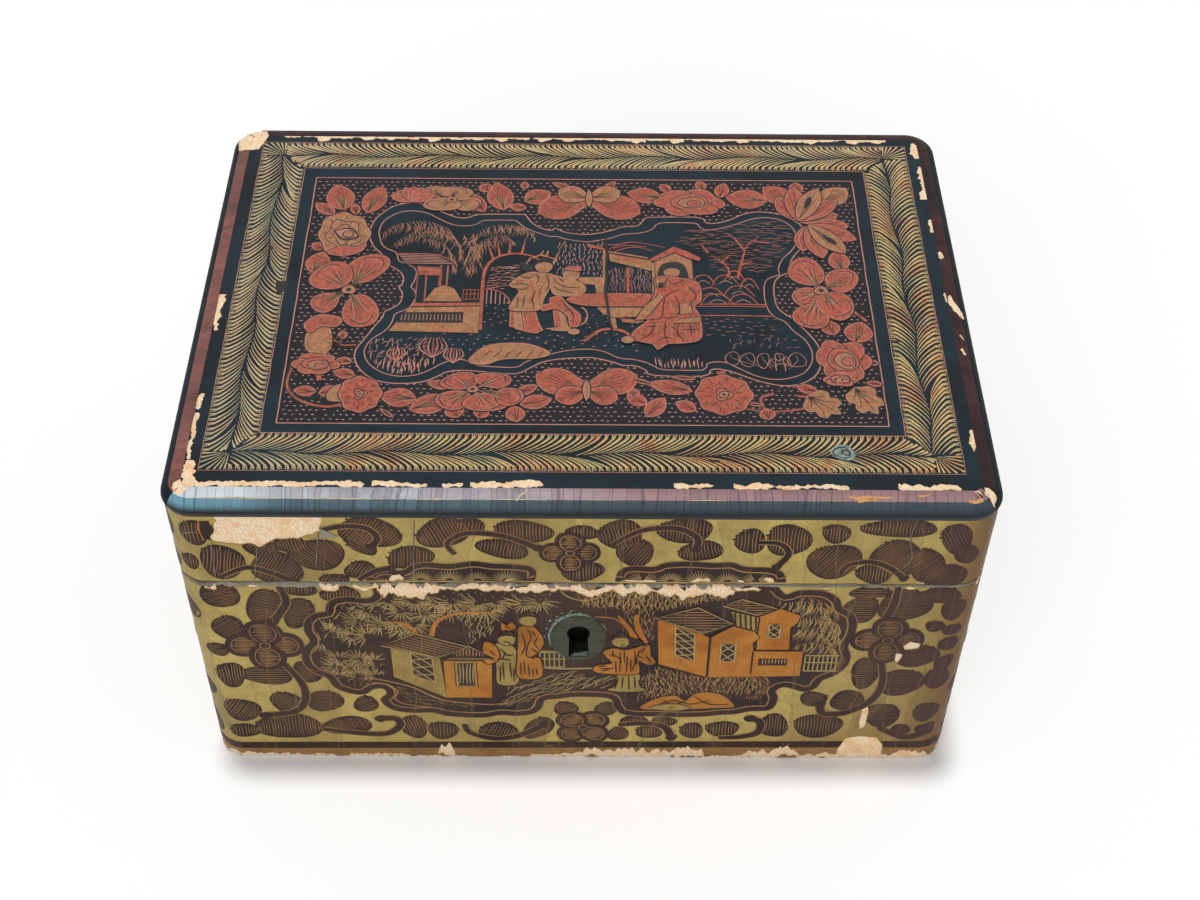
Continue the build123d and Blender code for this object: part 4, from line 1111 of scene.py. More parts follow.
def thicket(tone, area, gap, length, aim, spread, seed, width, swirl=0, bow=0.15):
    # short curved strokes: leaves, needles, grass or ripples
    vary = random.Random(seed).uniform
    u0, v0, u1, v1 = extent(area)
    v = v0
    while v < v1:
        u = u0 + vary(0, gap)
        while u < u1:
            start = (u, v + vary(-0.4, 0.4) * gap)
            if isInside(start, area):
                turn = radians(aim + vary(-spread, spread) + swirl * sin(u / 4.5 + v / 6 + seed))
                size = length * vary(0.6, 1.2)
                du, dv, bend = cos(turn) * size, sin(turn) * size, vary(-bow, 2 * bow)
                twig(tone, [start, (start[0] + du / 2 - bend * dv, start[1] + dv / 2 + bend * du),
                    (start[0] + du, start[1] + dv)], width)
            u += gap * vary(0.75, 1.3)
        v += gap * 0.9


def fans(tone, area, gap, reach, seed, width, aim, spread, count):
    # tufts of needles
    vary = random.Random(seed).uniform
    u0, v0, u1, v1 = extent(area)
    row, v = 0, v0
    while v < v1:
        u = u0 + (row % 2) * gap / 2
        while u < u1:
            heart = (u + vary(-0.22, 0.22) * gap, v + vary(-0.22, 0.22) * gap)
            if isInside(heart, area):
                turn = aim + vary(-40, 40)
                for k in range(count):
                    a = radians(turn + spread * (2 * k / (count - 1) - 1) + vary(-6, 6))
                    size, sag = reach * vary(0.7, 1.15), 0.16 * cos(a)
                    twig(tone, [(heart[0] + t * size * cos(a),
                        heart[1] + size * (t * sin(a) - sag * t * t)) for t in (0.22, 0.6, 1)], width)
            u += gap
        row, v = row + 1, v + 0.8 * gap


def fronds(tone, spine, reach, aim, seed, width, gap):
    # leaflets hanging from a bough
    vary = random.Random(seed).uniform
    bough = curve(spine, gap)
    for k, p in enumerate(bough):
        a = radians(aim + vary(-24, 24) + 20 * (k / len(bough) - 0.5))
        size = reach * vary(0.6, 1.1) * (0.55 + 0.9 * sin(pi * (k + 0.5) / len(bough)) ** 0.7) / 1.3
        twig(tone, [p, (p[0] + 0.55 * size * cos(a) + 0.12 * size, p[1] + 0.5 * size * sin(a)),
            (p[0] + size * cos(a), p[1] + size * sin(a))], width)


def fence(tone, u0, u1, v, height, gap, rail):
    over = easel["ground"] + 0.2
    for level in (0, 0.55, 1):
        line(tone, uv(u0, v + height * level, u1, v + height * level), rail, over, 3)
    for k in range(int((u1 - u0) / gap) + 1):
        line(tone, uv(u0 + gap * k, v, u0 + gap * k, v + height), rail * 0.8, over, 3)


def board(tone, points, level):
    patch(points, tone, level, "", 0.3)


# pavilion with its plinth
board("ink", uv(-60,19.5, -47,19, -41,15, -57,14.5), 0)
for k in range(6):
    line("edge", uv(-59.5 + 0.5 * k, 19 - 0.8 * k, -47 + k, 18.6 - 0.75 * k), 0.3, 1, 4)
line("red", uv(-60,19.6, -47,19.2, -41,15), 0.5, 1, 4)
for u, v0, v1, width in ((-52.8, 10, -4, 0.4), (-50, 10, -4, 0.5), (-45.6, 14, 4, 0.9), (-43.4, 14, 4, 0.6)):
    line("red", uv(u, v0, u, v1), width, 0.5, 4)
board("red", uv(-53.2,13.4, -45.5,13, -45.5,9, -52.4,9.4), 1)
line("dust", uv(-52.6,12, -46,11.6), 0.5, 2, 4)
board("dust", uv(-50,-3, -47,3, -44,4.5, -41,3, -38,-3), 1)
board("red", uv(-53,-4, -32,-3.6, -32,-5, -54,-5.4), 1.5)
board("dust", uv(-54.4,-6, -32.5,-5.4, -32.5,-17.4, -60,-16.7), 1)
board("ink", uv(-56,-8.6, -37.5,-8.2, -37.5,-12.6, -58,-12.6), 2)
for k in range(17):
    line("edge", uv(-56.4 + 1.12 * k, -9.2, -56.6 + 1.14 * k, -12), 0.22, 3.5, 4)
# old willow and fence
line("red", uv(-32,-16, -32,0, -31.5,12, -28,18, -22,20, -16,18.5, -14,16), (1.3, 1.1, 1, 0.6), 1)
for u, v, du in ((-29, 17, -2), (-24, 20, 0), (-20, 20, 1), (-27, 18.5, -1)):
    line("red", uv(u, v, u + du, v + 7), (0.9, 0.3), 1, 3)
for k, bough in enumerate((uv(-66,29, -62,34, -54,36, -47,34, -43,29), uv(-61,25, -56,30, -49,31, -44,28),
        uv(-52,27, -47,26, -43,20, -42,12), uv(-57,33, -51,33, -45,31, -41,25, -40,18),
        uv(-39,29, -37,23, -38,16, -37,11), uv(-37,26, -33,32, -27,34.5, -20,33, -16,28),
        uv(-36,23, -31,28, -26,29, -23,26), uv(-35,19, -33,25, -29,26), uv(-28,33, -22,34, -17,31),
        uv(-36,30, -35,20, -36,12))):
    fronds("dust", bough, 5.8, -98 + 3 * k, 40 + k, 0.2, 1)
    fronds("edge", bough, 4.6, -66 - 4 * k, 60 + k, 0.18, 1.4)
thicket("edge", plot(-31, -22, 3, 14), 1.5, 2.2, 4, 14, 8, 0.3)
fence("red", -38, -33, -2, 4.5, 1.2, 0.3)
line("red", uv(-31,3, -27,2, -24,-1, -22.5,-6), 0.5, 0.6)
for k in range(6):
    line("edge", uv(-30.5 + 1.4 * k, 2.5 - 0.2 * k * k, -30.5 + 1.4 * k, -4), 0.3, 0.6, 3)
strokes("dust", (0.9, 0.4), 1.5, (-16.5,18, -14,19.5, -13,21.5), (-12,19, -11.5,21.5), (-10,14.5, -9,18, -8,21),
    (-17,18, -18.5,15), (-14,19.5, -9.5,17.5))
# two figures in wide robes, plain round heads
patch(placed(disc(5.6, 6.6), -12.8, 14), "dust", 2)
crownOfHair(-12.8, 14, 5.8, 3.2, 6)
patch(uv(-20.5,16, -19.5,12, -16,10.5, -16.5,14), "ink", 1, "")
robe = curve(uv(-23.6,4.5, -21,8.5, -17,11, -13,10.5, -9.5,9.5, -10.5,4, -12.5,-2, -14,-7, -23,-7, -22,-2, -20.5,2),
    1.3, True)
for outline, tone in ((uv(-23,-7, -21.4,-7, -21.2,-15, -23,-14.5), "red"), (uv(-21.4,-7, -19.6,-7, -18.4,-16.5,
        -21.2,-15.5), "dust"), (uv(-19.4,-7, -15,-7, -14,-12, -12.4,-16, -14.5,-17.5, -18.2,-16.8), "red")):
    patch(outline, tone, 1)
patch(robe, "dust", 3)
strokes("ink", fold, 5, (-22.8,4.8, -19.5,5.4, -17,4.2), (-22,3.2, -19.5,2.6, -17.6,3.4),
    (-15.4,10, -14.2,8, -15,5.5), (-12,10, -11,6, -11.6,2), (-20.5,9, -17.5,8, -15.8,9.4), (-20.6,-1, -20.8,-6),
    (-18.6,0, -19,-6), (-15.2,2, -16,-2, -15.6,-6.6))
strokes("red", (0.3, 1.1, 0.3), 4.6, (-17.2,6.8, -15.8,2, -17,-4), (-21.8,6, -19,7), (-13.4,4, -14.2,-1))
patch(placed(disc(5.4, 6), -4, 10), "dust", 3)
crownOfHair(-4, 10, 5.6, 3.8, -8)
patch(uv(-6.4,12.4, -5.2,13.8, -1.4,13.9, -0.6,11.8, -3,11.6), "red", 4)
roundPatch("dust", 3.4, 1.3, -10,9.4, -6,8.2, -2.4,7, 0.2,5, 0.4,1.4, -3.6,-0.4, -9,0, -10.6,4)
patch(uv(-9.6,-6.8, -7.6,-6.8, -6.4,-14.6, -9,-14.2), "red", 1)
patch(uv(-7.6,-6.5, -4.6,-6.8, -3,-14, -5,-16.4, -9.5,-16.2, -11.8,-15.2, -6.6,-14.4), "dust", 1.4)
roundPatch("red", 3, 1.3, -13.6,-4.6, -10.6,-3.8, -10.8,-1.4, -7.4,-0.4, -5.4,-3.4, -2.6,-6.8, -0.8,-9.4,
    -1.6,-14.4, -4.4,-14, -5,-9.8, -8.6,-6.4, -12.8,-7.4)
patch(placed(disc(3.6, 2.6), -3, -16.6), "dust", 2)
line("dust", uv(-0.6,-5.4, 1,-7.8, 0.8,-11.6, -1.4,-14), 0.6, 2)
strokes("ink", fold, 5, (-9.6,7.6, -7.6,5, -4.4,3.6, -1,4), (-9.8,4, -7,2.2, -3.4,1), (-8,8.4, -6.6,6.4),
    (-7,-2, -5.6,-5, -3.4,-8.6, -3.2,-13), (-5.6,-9.4, -4.6,-13.4))
# table with apron, legs and foot rail
patch(uv(-3,8.6, 6.4,8.8, 6.4,1, 4,1, 3.6,5.2, -0.6,5.6), "dust", 1)
board("dust", uv(4,-5.6, 20,-5.4, 17.5,-9.6, 9,-10, 6,-8.4), 2)
for outline in (uv(7,-10, 9.8,-10, 10.4,-15, 9,-15), uv(9.8,-10, 11.4,-10, 12,-12, 17,-12.6, 19,-11.6)):
    board("dust", outline, 1.4)
line("red", uv(0,-20.8, 2.2,-18.6, 5,-16, 8.6,-15.2, 12.6,-16.4, 14.4,-18.6), 1.1, 1)
patch(curve(uv(-5.4,-2, -1.4,0.5, 5,0.9, 13,1.2, 20,1, 24,0, 24,-3, 19.6,-4.7, 8,-5, -1,-4.5), 1.3, True), "red", 3,
    "dust")
# open house with a gable
board("dust", uv(8,20.2, 21.6,17, 21.6,12, 8.4,16.6), 1)
line("dust", uv(7.6,21.2, 14,19.8, 20.5,18.2), 0.7, 2)
line("red", uv(1.2,24.2, 3.6,23.4, 7.4,22), (1.6, 0.9), 2)
strokes("red", 0.36, 1, (8,22.4, 15,26, 26.4,23.4), (5,24.6, 11,24.8, 15,26), (10,21.4, 16,23.6, 22,21.8),
    (9.6,22.8, 14,24.4, 20,23.6))
strokes("red", (0.2, 0.7, 0.2), 2, (10,19.4, 20,16.4), (9.6,18.2, 20,15))
for u, v, tone, w in ((6.6, 22, "dust", 1.1), (14, 13.6, "red", 0.9), (22.2, 16, "dust", 1)):
    line(tone, uv(u, v, u, 1), w, 1, 4)
thicket("edge", plot(8, 21.5, 1.5, 12), 1.15, 2.6, 90, 5, 9, 0.15)
thicket("edge", plot(-9, 6, 9, 27), 1.5, 1.7, 84, 8, 10, 0.3, 0, 0.04)
board("red", uv(20.8,17.2, 25,20.6, 29,23.8, 33,21.6, 37.6,18.2, 36.8,16.8, 33,18.6, 29,21, 26,19, 22.4,16.6), 3)
board("dust", uv(22.8,16.6, 29,20.6, 34.6,17, 34.8,6, 23,6), 1)
thicket("red", uv(23,16, 29,19.8, 34,16.6, 34,6, 32.6,6, 32.6,15, 24,15, 23.6,6), 0.9, 2, 80, 30, 11, 0.5)
fill("ink", curve(uv(24,6, 24,13.4, 26.6,16, 30.2,16.2, 32.6,13.6, 32.6,6), 1.5, True), 2.5)
# third figure, seated, robes spread on the ground
patch(placed(disc(5.2, 5.8), 28, 11.6), "dust", 3)
crownOfHair(28, 11.6, 5.4, 3.9, 4)
seat = curve(uv(22.4,8.4, 26,9.4, 31.6,8.4, 36.4,6, 37,-2, 34.8,-4.8, 36.4,-10, 36.2,-19.4, 31,-21.6, 26,-22,
    22.6,-24.6, 21.2,-22.2, 15,-20, 15.4,-16.4, 20,-11, 16,-11.4, 19,-5.6, 21.6,-1, 22.6,3), 1.4, True)
patch(seat, "red", 4)
for outline in (uv(16.2,-11, 18.6,-5.8, 23.8,0.8, 25,-0.6, 21,-8, 18.6,-11), uv(22.8,8, 26,8.6, 25.4,4, 23.2,3.6),
        uv(28,-12.6, 36,-12.2, 36,-9.6, 30,-10.8), uv(29.6,-4, 33.6,-3, 33.8,-8, 30.2,-8.6)):
    patch(outline, "dust", 5, "")
patch(placed(disc(4, 3), 13.6, -20.2), "dust", 5)
fill("ink", uv(23.4,3.4, 25.2,3.8, 25.6,6, 23.6,6.2), 6)
strokes("ink", fold, 6, (20,-11, 24,-10.2, 25,-4, 26,0, 30,3), (24.6,-10, 29,-9.6, 30,-4.6, 28.6,0),
    (33,4, 35.4,0, 33,-4, 34.6,-5), (22,-12, 21,-17, 17.6,-20), (25.6,-11.4, 25,-17, 26,-22),
    (29.4,-13, 29,-17, 31,-21), (33,-13, 33.4,-18), (22.6,-21, 25,-19, 28,-20), (26.4,8, 28.4,5.6, 31.6,7.6),
    (30.4,-15.6, 35.6,-15.4), (19,-14.4, 22.6,-14), (27,-14, 28.6,-16))
strokes("dust", (0.2, 0.6, 0.2), 5.6, (23,-13, 22.6,-18), (27.4,-13, 27.2,-20), (31.4,-14, 31.8,-20),
    (27,-2, 27.6,-8), (32,6, 33.6,1), (18,-16, 17.4,-19), (34.6,-14, 35,-18))
# trees, rocks and water
for path in (((49, 9), (51, 18), (53, 25), (57, 29)), ((52, 22), (49, 28), (47, 30)), ((46, 9), (46, 14), (41, 20)),
        ((44, 16), (47, 20)), ((55, 27), (60, 26)), ((40, 21), (38, 25)), ((50, 15), (54, 17))):
    line("red", list(path), (1, 0.6, 0.3), 0.5)
for u, v, w in ((38, 8, 8), (45, 8, 9), (40, 2, 10), (49, 3, 10), (52.4, 6.4, 6), (42, -1, 11), (50, -1, 10),
        (48, 10, 7)):
    line("red", uv(u - w / 2, v - 3, u - w / 4, v + 1.4, u + w / 6, v + 1.8, u + w / 2, v - 3), (0.3, 0.5, 0.3),
        0.5)
    line("edge", uv(u - w / 4, v - 2, u, v - 0.4, u + w / 4, v - 2), (0.2, 0.32, 0.2), 0.5)
for u, v, w in ((57.2, -3.6, 0.5), (57.4, -4.6, 0.4), (58.6, -8.9, 0.5)):
    line("red", uv(35, v, 46, v + 0.15, u, v - 0.1), w, 0.5, 3)
sky = uv(28,26, 36,37, 46,34, 56,39, 64,38, 68,28, 64,18, 56,12, 40,12, 38,22)
thicket("edge", sky, 2.1, 3, 0, 9, 12, 0.17, 0, 0.06)
thicket("red", sky, 3.8, 2.6, 0, 9, 27, 0.2, 0, 0.06)
thicket("edge", plot(37, 60, -18, -10), 2.6, 1.7, 0, 14, 13, 0.22, 0, 0.06)
thicket("edge", plot(-46, 16, -25, -17), 2.7, 0.9, 5, 30, 14, 0.36)
thicket("edge", plot(-31, -22, -16, -3), 2.8, 0.8, 0, 30, 15, 0.34)
thicket("edge", plot(0, 16, -15, -8), 2.8, 0.8, 0, 30, 34, 0.34)
# bushes, bank and reeds
for u, v, size in ((-46, -24, 9), (-39.5, -27.5, 6.5), (-57, -27, 6)):
    for k in range(7):
        a = 0.9 * (k / 3 - 1)
        line("red" if k % 2 else "edge", uv(u, v - size / 2, u + a * size * 0.52, v, u + a * size * 0.3,
            v + size / 2), (0.2, 0.45, 0.2), 0.5)
thicket("edge", plot(-65, -44, -36, -31), 1.5, 3.4, 88, 10, 16, 0.42, 0, 0.05)
thicket("edge", plot(-67, -48, -33, -20), 1.9, 2.2, 60, 40, 17, 0.3)
roundPatch("dust", 1, 1.5, -35,-30, -31,-24, -26,-22, -17,-22, -10,-26, -14,-28.5, -24,-29, -30,-31.5)
for k in range(6):
    line("ink", uv(-31 + 3.4 * k, -28.5, -28 + 3.2 * k, -25), (0.15, 0.4, 0.15), 2, 2)
thicket("edge", plot(22, 37, -33, -30.8), 1.2, 3, 88, 8, 18, 0.36, 0, 0.05)
# lotus leaves round one blossom
for k, (u, v, width, height) in enumerate(((45.4, -28, 4.6, 5.4), (50, -28.6, 4.2, 6.4), (54.7, -28.8, 3.8, 6.4),
        (65, -28.6, 5.2, 6.6), (59.7, -27.2, 2.6, 3.4), (61.9, -29.2, 2.2, 3.6), (57.6, -29.6, 2, 3))):
    line("edge", placed(disc(width, height, 0.08, k, 18), u, v, 8 * sin(3 * k)), (0.16, 0.26, 0.18), 0.5, 0, True)
    line("edge", uv(u - 0.5, v + 0.3 * height, u + 0.3, v, 0.5 * u + 29.8, v - 0.6 * height), (0.1, 0.2, 0.12), 0.5)
line("edge", uv(58.4,-33.2, 58.6,-30.6, 61,-30.4, 61.2,-33.4), 0.3, 0.5)
thicket("edge", plot(44, 66, -24.6, -18.4), 2.4, 2, 60, 40, 19, 0.2, 30)
# a crack across the frame
crack = uv(7.3,28.4, 7,24, 7.4,19, 7,13, 7.2,8, 6.8,2, 7.3,-3, 7.7,-8, 8,-12, 8.9,-16, 9.3,-19.6)
addStroke(easel["paint"]["ink"], curve(crack, 1), (0.4, 0.9, 0.6, 1, 0.8, 1, 0.5), coat["figure"] + 0.62)
for name, material in (("ink", "inkLine"), ("red", "cinnabar"), ("dust", "goldDust"), ("edge", "pinkLine")):
    finishLayer(easel["paint"][name], "top_figures_" + name, material)
# the old scar: a ring pressed through the paint
layer = newLayer()
addShape(layer, ragged(placed(disc(7.2, 6, 0.06, 5, 16), 75.5, -67), 0.3, 6), coat["figure"])
finishLayer(layer, "top_scar", "paleScar")
layer = newLayer()
for size, shift in ((5, -0.4), (2.4, 0.8)):
    addStroke(layer, placed(disc(size, 0.8 * size, 0.1, 5, 24), 75.5 + shift, -67), (0.2, 0.55, 0.25, 0.5),
        coat["figure"] + 0.03, True)
for u, v, width, height in ((-97.4, 66, 2.2, 1.6), (-95.4, 3.4, 3.6, 7), (-101, 22, 1.2, 3), (96, -20, 2.4, 1.4),
        (38, -70.5, 3, 1.3)):
    # lost bits of the feathers
    addShape(layer, ragged(placed(disc(width, height, 0.12, 4, 16), u, v), 0.3, 7), coat["figure"] + 0.03)
finishLayer(layer, "top_scar_ring", "inkLine")
# a hazy blue patch on the black top: painted sheen
layer = newLayer(holes=flakes["top"])
sheenOutline = curve(uv(-97,44, -93,58, -88,65, -70,63, -57,62, -58,51, -66,57, -84,56, -91,44), 2, True)
addShape(layer, ragged(sheenOutline, 0.25, 4), coat["skin"] + unevenness)
finishLayer(layer, "top_bloom", "blueBloom")
print("garden painted")


# the walls: each colour is its own piece
# rim: pale painted highlight on rounded arrises and lifted lips
wallFinish = {"red": "orangeGold", "dust": "paleGold", "ink": "brownFigure", "edge": "scratchGold",
    "twig": "twigGold", "rim": "wornRim", "foot": "footBrown"}


def newEasel(side, part):
    key = side + part
    return {"paint": {n: newLayer(surfaces[key], openings(key)) for n in wallFinish}, "ground": 1.3, "clip": None}


def hangUp(side, part):
    for name, layer in easel["paint"].items():
        if layer["faces"]:
            finishLayer(layer, f"{side}_{part.lower()}_{name}", wallFinish[name], skins[part]["body"],
                "gold_lacquer")


def hatch(outline, turn, gap, width, level, bow, chance, tone="edge", comb=0):
    # scratched lines across a figure; a comb lets the dark run out between them
    c, s = cos(radians(turn)), sin(radians(turn))
    low, high = min(-p[0] * s + p[1] * c for p in outline), max(-p[0] * s + p[1] * c for p in outline)
    start, end = min(p[0] * c + p[1] * s for p in outline), max(p[0] * c + p[1] * s for p in outline)
    offset = low + gap * 0.7
    while offset < high - gap * 0.3:
        run = []
        along = start
        while along < end:
            side = 1 if offset > (low + high) / 2 else -1
            across = offset + side * bow * (along - (start + end) / 2) ** 2 / (end - start)
            p = (along * c - across * s, along * s + across * c)
            if isInside(p, outline):
                run.append(p)
            along += 0.55
        trim = chance.randint(0, 2) if chance else 0
        if len(run) > 3 + trim:
            if comb:
                tip = (run[-1][0] + c * comb * chance.uniform(0.4, 1.2), run[-1][1] + s * comb * chance.uniform(0.4,
                    1.2))
                shift = 0.5 * gap
                line("ink", uv(run[-2][0] - s * shift, run[-2][1] + c * shift, tip[0] - s * shift,
                    tip[1] + c * shift), (0.9 * gap, 0.6 * gap), 0.2, 0)
            line(tone, run[1:len(run) - trim], (0.5 * width, width, 0.6 * width), level, 0)
        offset += gap * (chance.uniform(0.8, 1.2) if chance else 1)


def wallLeaf(u, v, width, height, turn=90, lean=0, seed=None):
    seed = round(u * 7 + v * 13) if seed is None else seed
    outline = placed(disc(width * 1.06, height * 1.06, 0.055, seed, 22), u, v, lean)
    fill("ink", outline)
    hatch(outline, turn + lean, 0.95, 0.23, 0.7, 0.15, random.Random(seed), comb=0.3)


def wallStem(points, width=2.4):
    line("edge", points, (width * 0.75 + 0.7, width + 0.7, width + 0.9), 1)
    line("ink", points, (width * 0.75, width, width * 1.1), 1.5)
    fill("ink", placed(disc(width * 1.7, width * 1.5, 0.08, 2, 14), *points[-1]), 1.6)


def wallFlower(u, v, size, turn=0):
    # four petals ringed in black and gold round a dark eye
    for k, aim in enumerate((0, 180, 90, 270)):
        a = radians(aim + turn)
        place = (u + 0.26 * size * cos(a), v + 0.26 * size * sin(a))
        petalRing = placed(disc(0.56 * size, 0.53 * size, 0.03, k, 24), *place, aim + turn)
        fill("ink", petalRing, 1 + k)
        inner = placed(disc(0.38 * size, 0.33 * size, 0.03, k, 24), *place, aim + turn)
        fill("edge", moveOut(inner, 0.3), 1.5 + k)
        fill("ink", inner, 1.9 + k)
        hatch(inner, aim + turn + (0 if k < 2 else 90 * (turn == 0)), 0.75, 0.38, 2.4 + k, 0, random.Random(k))
    fill("ink", placed(disc(0.2 * size), u, v), 5.6)
    line("edge", placed(disc(0.14 * size), u, v), 0.35, 6, 0, True)


def panel(tone, points, level=2):
    # a flat part of a building
    fill("ink", moveOut(points, 0.35), level)
    fill(tone, points, level + 0.4)


def lattice(points, level, rows=3):
    # a window of crossed laths
    fill("ink", points, level)
    a, b, c, d = points
    for k in range(rows):
        for t0, t1 in ((k, k + 1), (k + 1, k)):
            p = [a[i] + (d[i] - a[i]) * t0 / rows for i in (0, 1)]
            q = [b[i] + (c[i] - b[i]) * t1 / rows for i in (0, 1)]
            line("twig", [tuple(p), tuple(q)], 0.4, level + 0.5, 2)
    line("twig", [a, b, c, d], 0.5, level + 0.5, 0, True)


def roof(points, level, turn, gap=1.2):
    panel("twig", points, level)
    fill("ink", moveOut(points, -0.5), level + 0.7)
    hatch(moveOut(points, -0.6), turn, gap, 0.42, level + 1.1, 0, None)


def footBands(span, low=(5.5, 5.5), thick=2.9):
    # black stripe, brown band
    fill("ink", uv(-span, low[0], span, low[1], span, low[1] + thick, -span, low[0] + thick), 0.4)
    fill("foot", uv(-span, 0.1, span, 0.1, span, low[1] - 0.3, -span, low[0] - 0.3))


def cartouche(points, top):
    # open at the rim: a thin gold line inside a broad dark border
    edge = curve(points, 1.3)
    closed = edge + uv(edge[-1][0], top, edge[0][0], top)
    fill("edge", moveOut(closed, 0.3), 0.5)
    fill("ink", closed, 0.8)
    rim = [p for p in moveOut(closed, -2.7) if p[1] < top - 1.5 and min(dist(p, q) for q in edge) > 2.2]
    first = max(range(len(rim)), key=lambda i: dist(rim[i - 1], rim[i]))
    rim = rim[first:] + rim[:first]
    line("edge", rim, 0.5, 1.3, 0)
    easel["clip"] = rim + uv(rim[-1][0], top - 0.6, rim[0][0], top - 0.6)


# front of the case
easel = newEasel("front", "Base")
frontSpan = sides["front"][1] + halfArc
footBands(frontSpan, (4.7, 6.9), 3.5)
for row in ((-108,86, 12,12, 20), (-84,88.5, 11,6), (-72,86, 11,8), (-95,80, 11,17, 0, -14),
        (-85.5,77, 9,14, 0, -16), (-107.5,69.5, 10,11, 40), (-112.5,58.5, 7,6, 0), (-110,45.5, 9,12),
        (-98.5,45.5, 15,10, 0), (-86,47, 8,11, -40, 10), (-94.5,31, 10,10, 40), (-82,31.5, 11,11, 0),
        (-109,26.5, 11,12, 60), (-69,30, 8,8, 30), (-95,17.5, 20,14), (-76,18, 15,10, 100, 8), (-109.5,15, 10,7),
        (-54.5,17.5, 8,13, 90, 12), (-45,15.5, 9,10), (-27,15.5, 12,9, 60, 10), (-14,17, 8,13, 60, -30),
        (-5,28, 8,7, 60), (8,28, 7,7, 60), (12,14, 7,7, 60), (84,80, 10,13, 0), (97,82, 16,14, 0),
        (112,80, 7,10, 0), (107.5,72, 6,5, 0), (113,70, 6,5, 0), (113,63, 6,7, 0), (107,87, 13,7, 20),
        (104,57, 13,11, 30), (113,53, 6,8, 0), (89,48, 9,15, 0), (101,43, 14,13, 0), (112,45, 8,10, 0),
        (74,34, 8,8, -30), (85,33, 11,10, -30), (77,19, 16,12), (97,25, 11,13, 0), (111,27, 8,10, 0), (46,17, 11,8),
        (62.5,19, 9,13), (36,16, 7,9), (22,15, 8,7), (17,21.5, 9,5), (27,21, 8,5), (104,17, 6,6, 0),
        (112,17, 6,6, 0), (86,88, 12,5, 0)):
    wallLeaf(*row)
for points in (uv(-90,90.5, -88.5,83, -91,77, -93.5,73), uv(-93,52, -88.5,42, -88,33, -92,26, -102,23.5),
        uv(-84,16, -74,14, -64,13.5, -59,18, -60,22, -65,22), uv(-38,19, -36,14, -28,11, -20,13, -12,19),
        uv(94,90.5, 93.5,82, 91.5,74), uv(93,56, 95,43, 92.5,33, 85,26.5, 78,26, 76.5,31),
        uv(45,12, 52,12.5, 57.5,15, 58,21, 54.5,23), uv(12,19, 20,20, 27,18, 29.5,12),
        uv(97,18, 105,13, 110,14, 113,19)):
    wallStem(points)
wallFlower(-97.5, 61, 23)
wallFlower(94, 65, 21.5)
wallFlower(0.5, 18, 19, 45)
frontFrame = uv(-62.8,91.5, -62,86.5, -64.4,84.2, -70,85, -75,83.5, -77,80, -77.2,77.8, -81,76.8, -84,73, -84.6,68,
    -83.4,64, -83.6,62.4, -85.6,60, -86.8,55, -86,50, -83.5,46.5, -80,44, -79,41, -77,38, -72,35.4, -68.4,35.8,
    -66,38.2, -63,38.6, -61.8,36, -64,33, -63,29.5, -60,26.6, -54,25.4, -48,25.6, -44,24, -37,23, -31,23, -26,24.4,
    -20,24, -15,25.5, -12.6,29, -11.6,32.6, -7,33.6, -2,34.6, 6,34.4, 9.6,33.2, 10.6,29, 13,25.4, 18,24, 24,24,
    31,23.7, 39,24, 45,25, 50,25.5, 54,27, 60,27.6, 62,30, 62.6,35, 61.6,38, 64,40.4, 68,39, 71,37.8, 74.4,40,
    76,44, 80,47, 83,52, 83.4,57, 82.2,62, 83.4,67, 83.6,73, 82,78, 78.4,81, 77,85, 73,88.4, 68,89.2, 64,88.8,
    61,87, 59.2,89, 57.5,91.5)
cartouche(frontFrame, 91.2)
print("front garland painted")
# trees behind
fans("twig", uv(-81,62, -80,72, -73,80, -62,83, -59,70, -64,63), 6.4, 6.4, 20, 0.36, 170, 95, 13)
thicket("edge", uv(-80,66, -74,80, -60,84, -61,66), 2.8, 1.6, 150, 60, 27, 0.26)
fans("twig", uv(-83,53, -76,56, -62,57, -62,44, -71,41, -79,45), 5.4, 5, 21, 0.34, 140, 110, 13)
thicket("edge", uv(-82,50, -62,56, -62,42, -72,38), 2.2, 2, 90, 50, 28, 0.28, 50)
fans("twig", uv(-60,88, -8,88, -10,79, -26,80, -30,75, -44,73, -58,68), 6.4, 6.2, 22, 0.36, 262, 95, 13)
thicket("edge", uv(-60,88, -8,88, -10,79, -26,80, -44,73, -58,68), 2.8, 1.6, 90, 60, 29, 0.26)
thicket("twig", uv(-36,76, -28,76, -27,66, -34,62), 1.6, 3, 80, 20, 30, 0.28)
thicket("twig", uv(0,88, 40,88, 44,84, 34,82, 22,78, 12,79, 0,80), 1.5, 2.8, 84, 18, 23, 0.32)
thicket("edge", uv(0,88, 40,88, 44,84, 34,82, 22,78, 22,64, 18,66, 12,79, 0,80), 1.6, 2.6, 96, 22, 31, 0.32)
for k, bough in enumerate((uv(59,84, 65,86.4, 72,84, 77,78), uv(62,79, 67,82, 73,79, 79,70),
        uv(65,74, 70,76, 76,72, 80,64), uv(65,68, 70,70, 75,66, 79,59), uv(66,62, 71,64, 78,60),
        uv(61,83, 67,84, 74,80), uv(66,76, 72,77, 78,73), uv(66,70, 73,71, 79,66))):
    fronds("twig" if k % 3 else "edge", bough, 6.4, -96, 70 + k, 0.3, 0.9)
thicket("edge", uv(19,44, 24,50, 38,45, 60,45, 61,38, 56,32, 48,36, 34,35, 24,33, 18,32), 1.35, 2.4, 96, 20, 25,
    0.3, 20)
thicket("twig", uv(20,44, 24,49, 38,44, 60,44, 56,36, 34,36, 20,34), 2.2, 2.6, 84, 20, 32, 0.3, 20)
thicket("twig", uv(-29,27, -22,41, -8,46, 9,44, 6,39, -9,37, -15,30), 2, 5, 34, 12, 26, 0.3, 8)
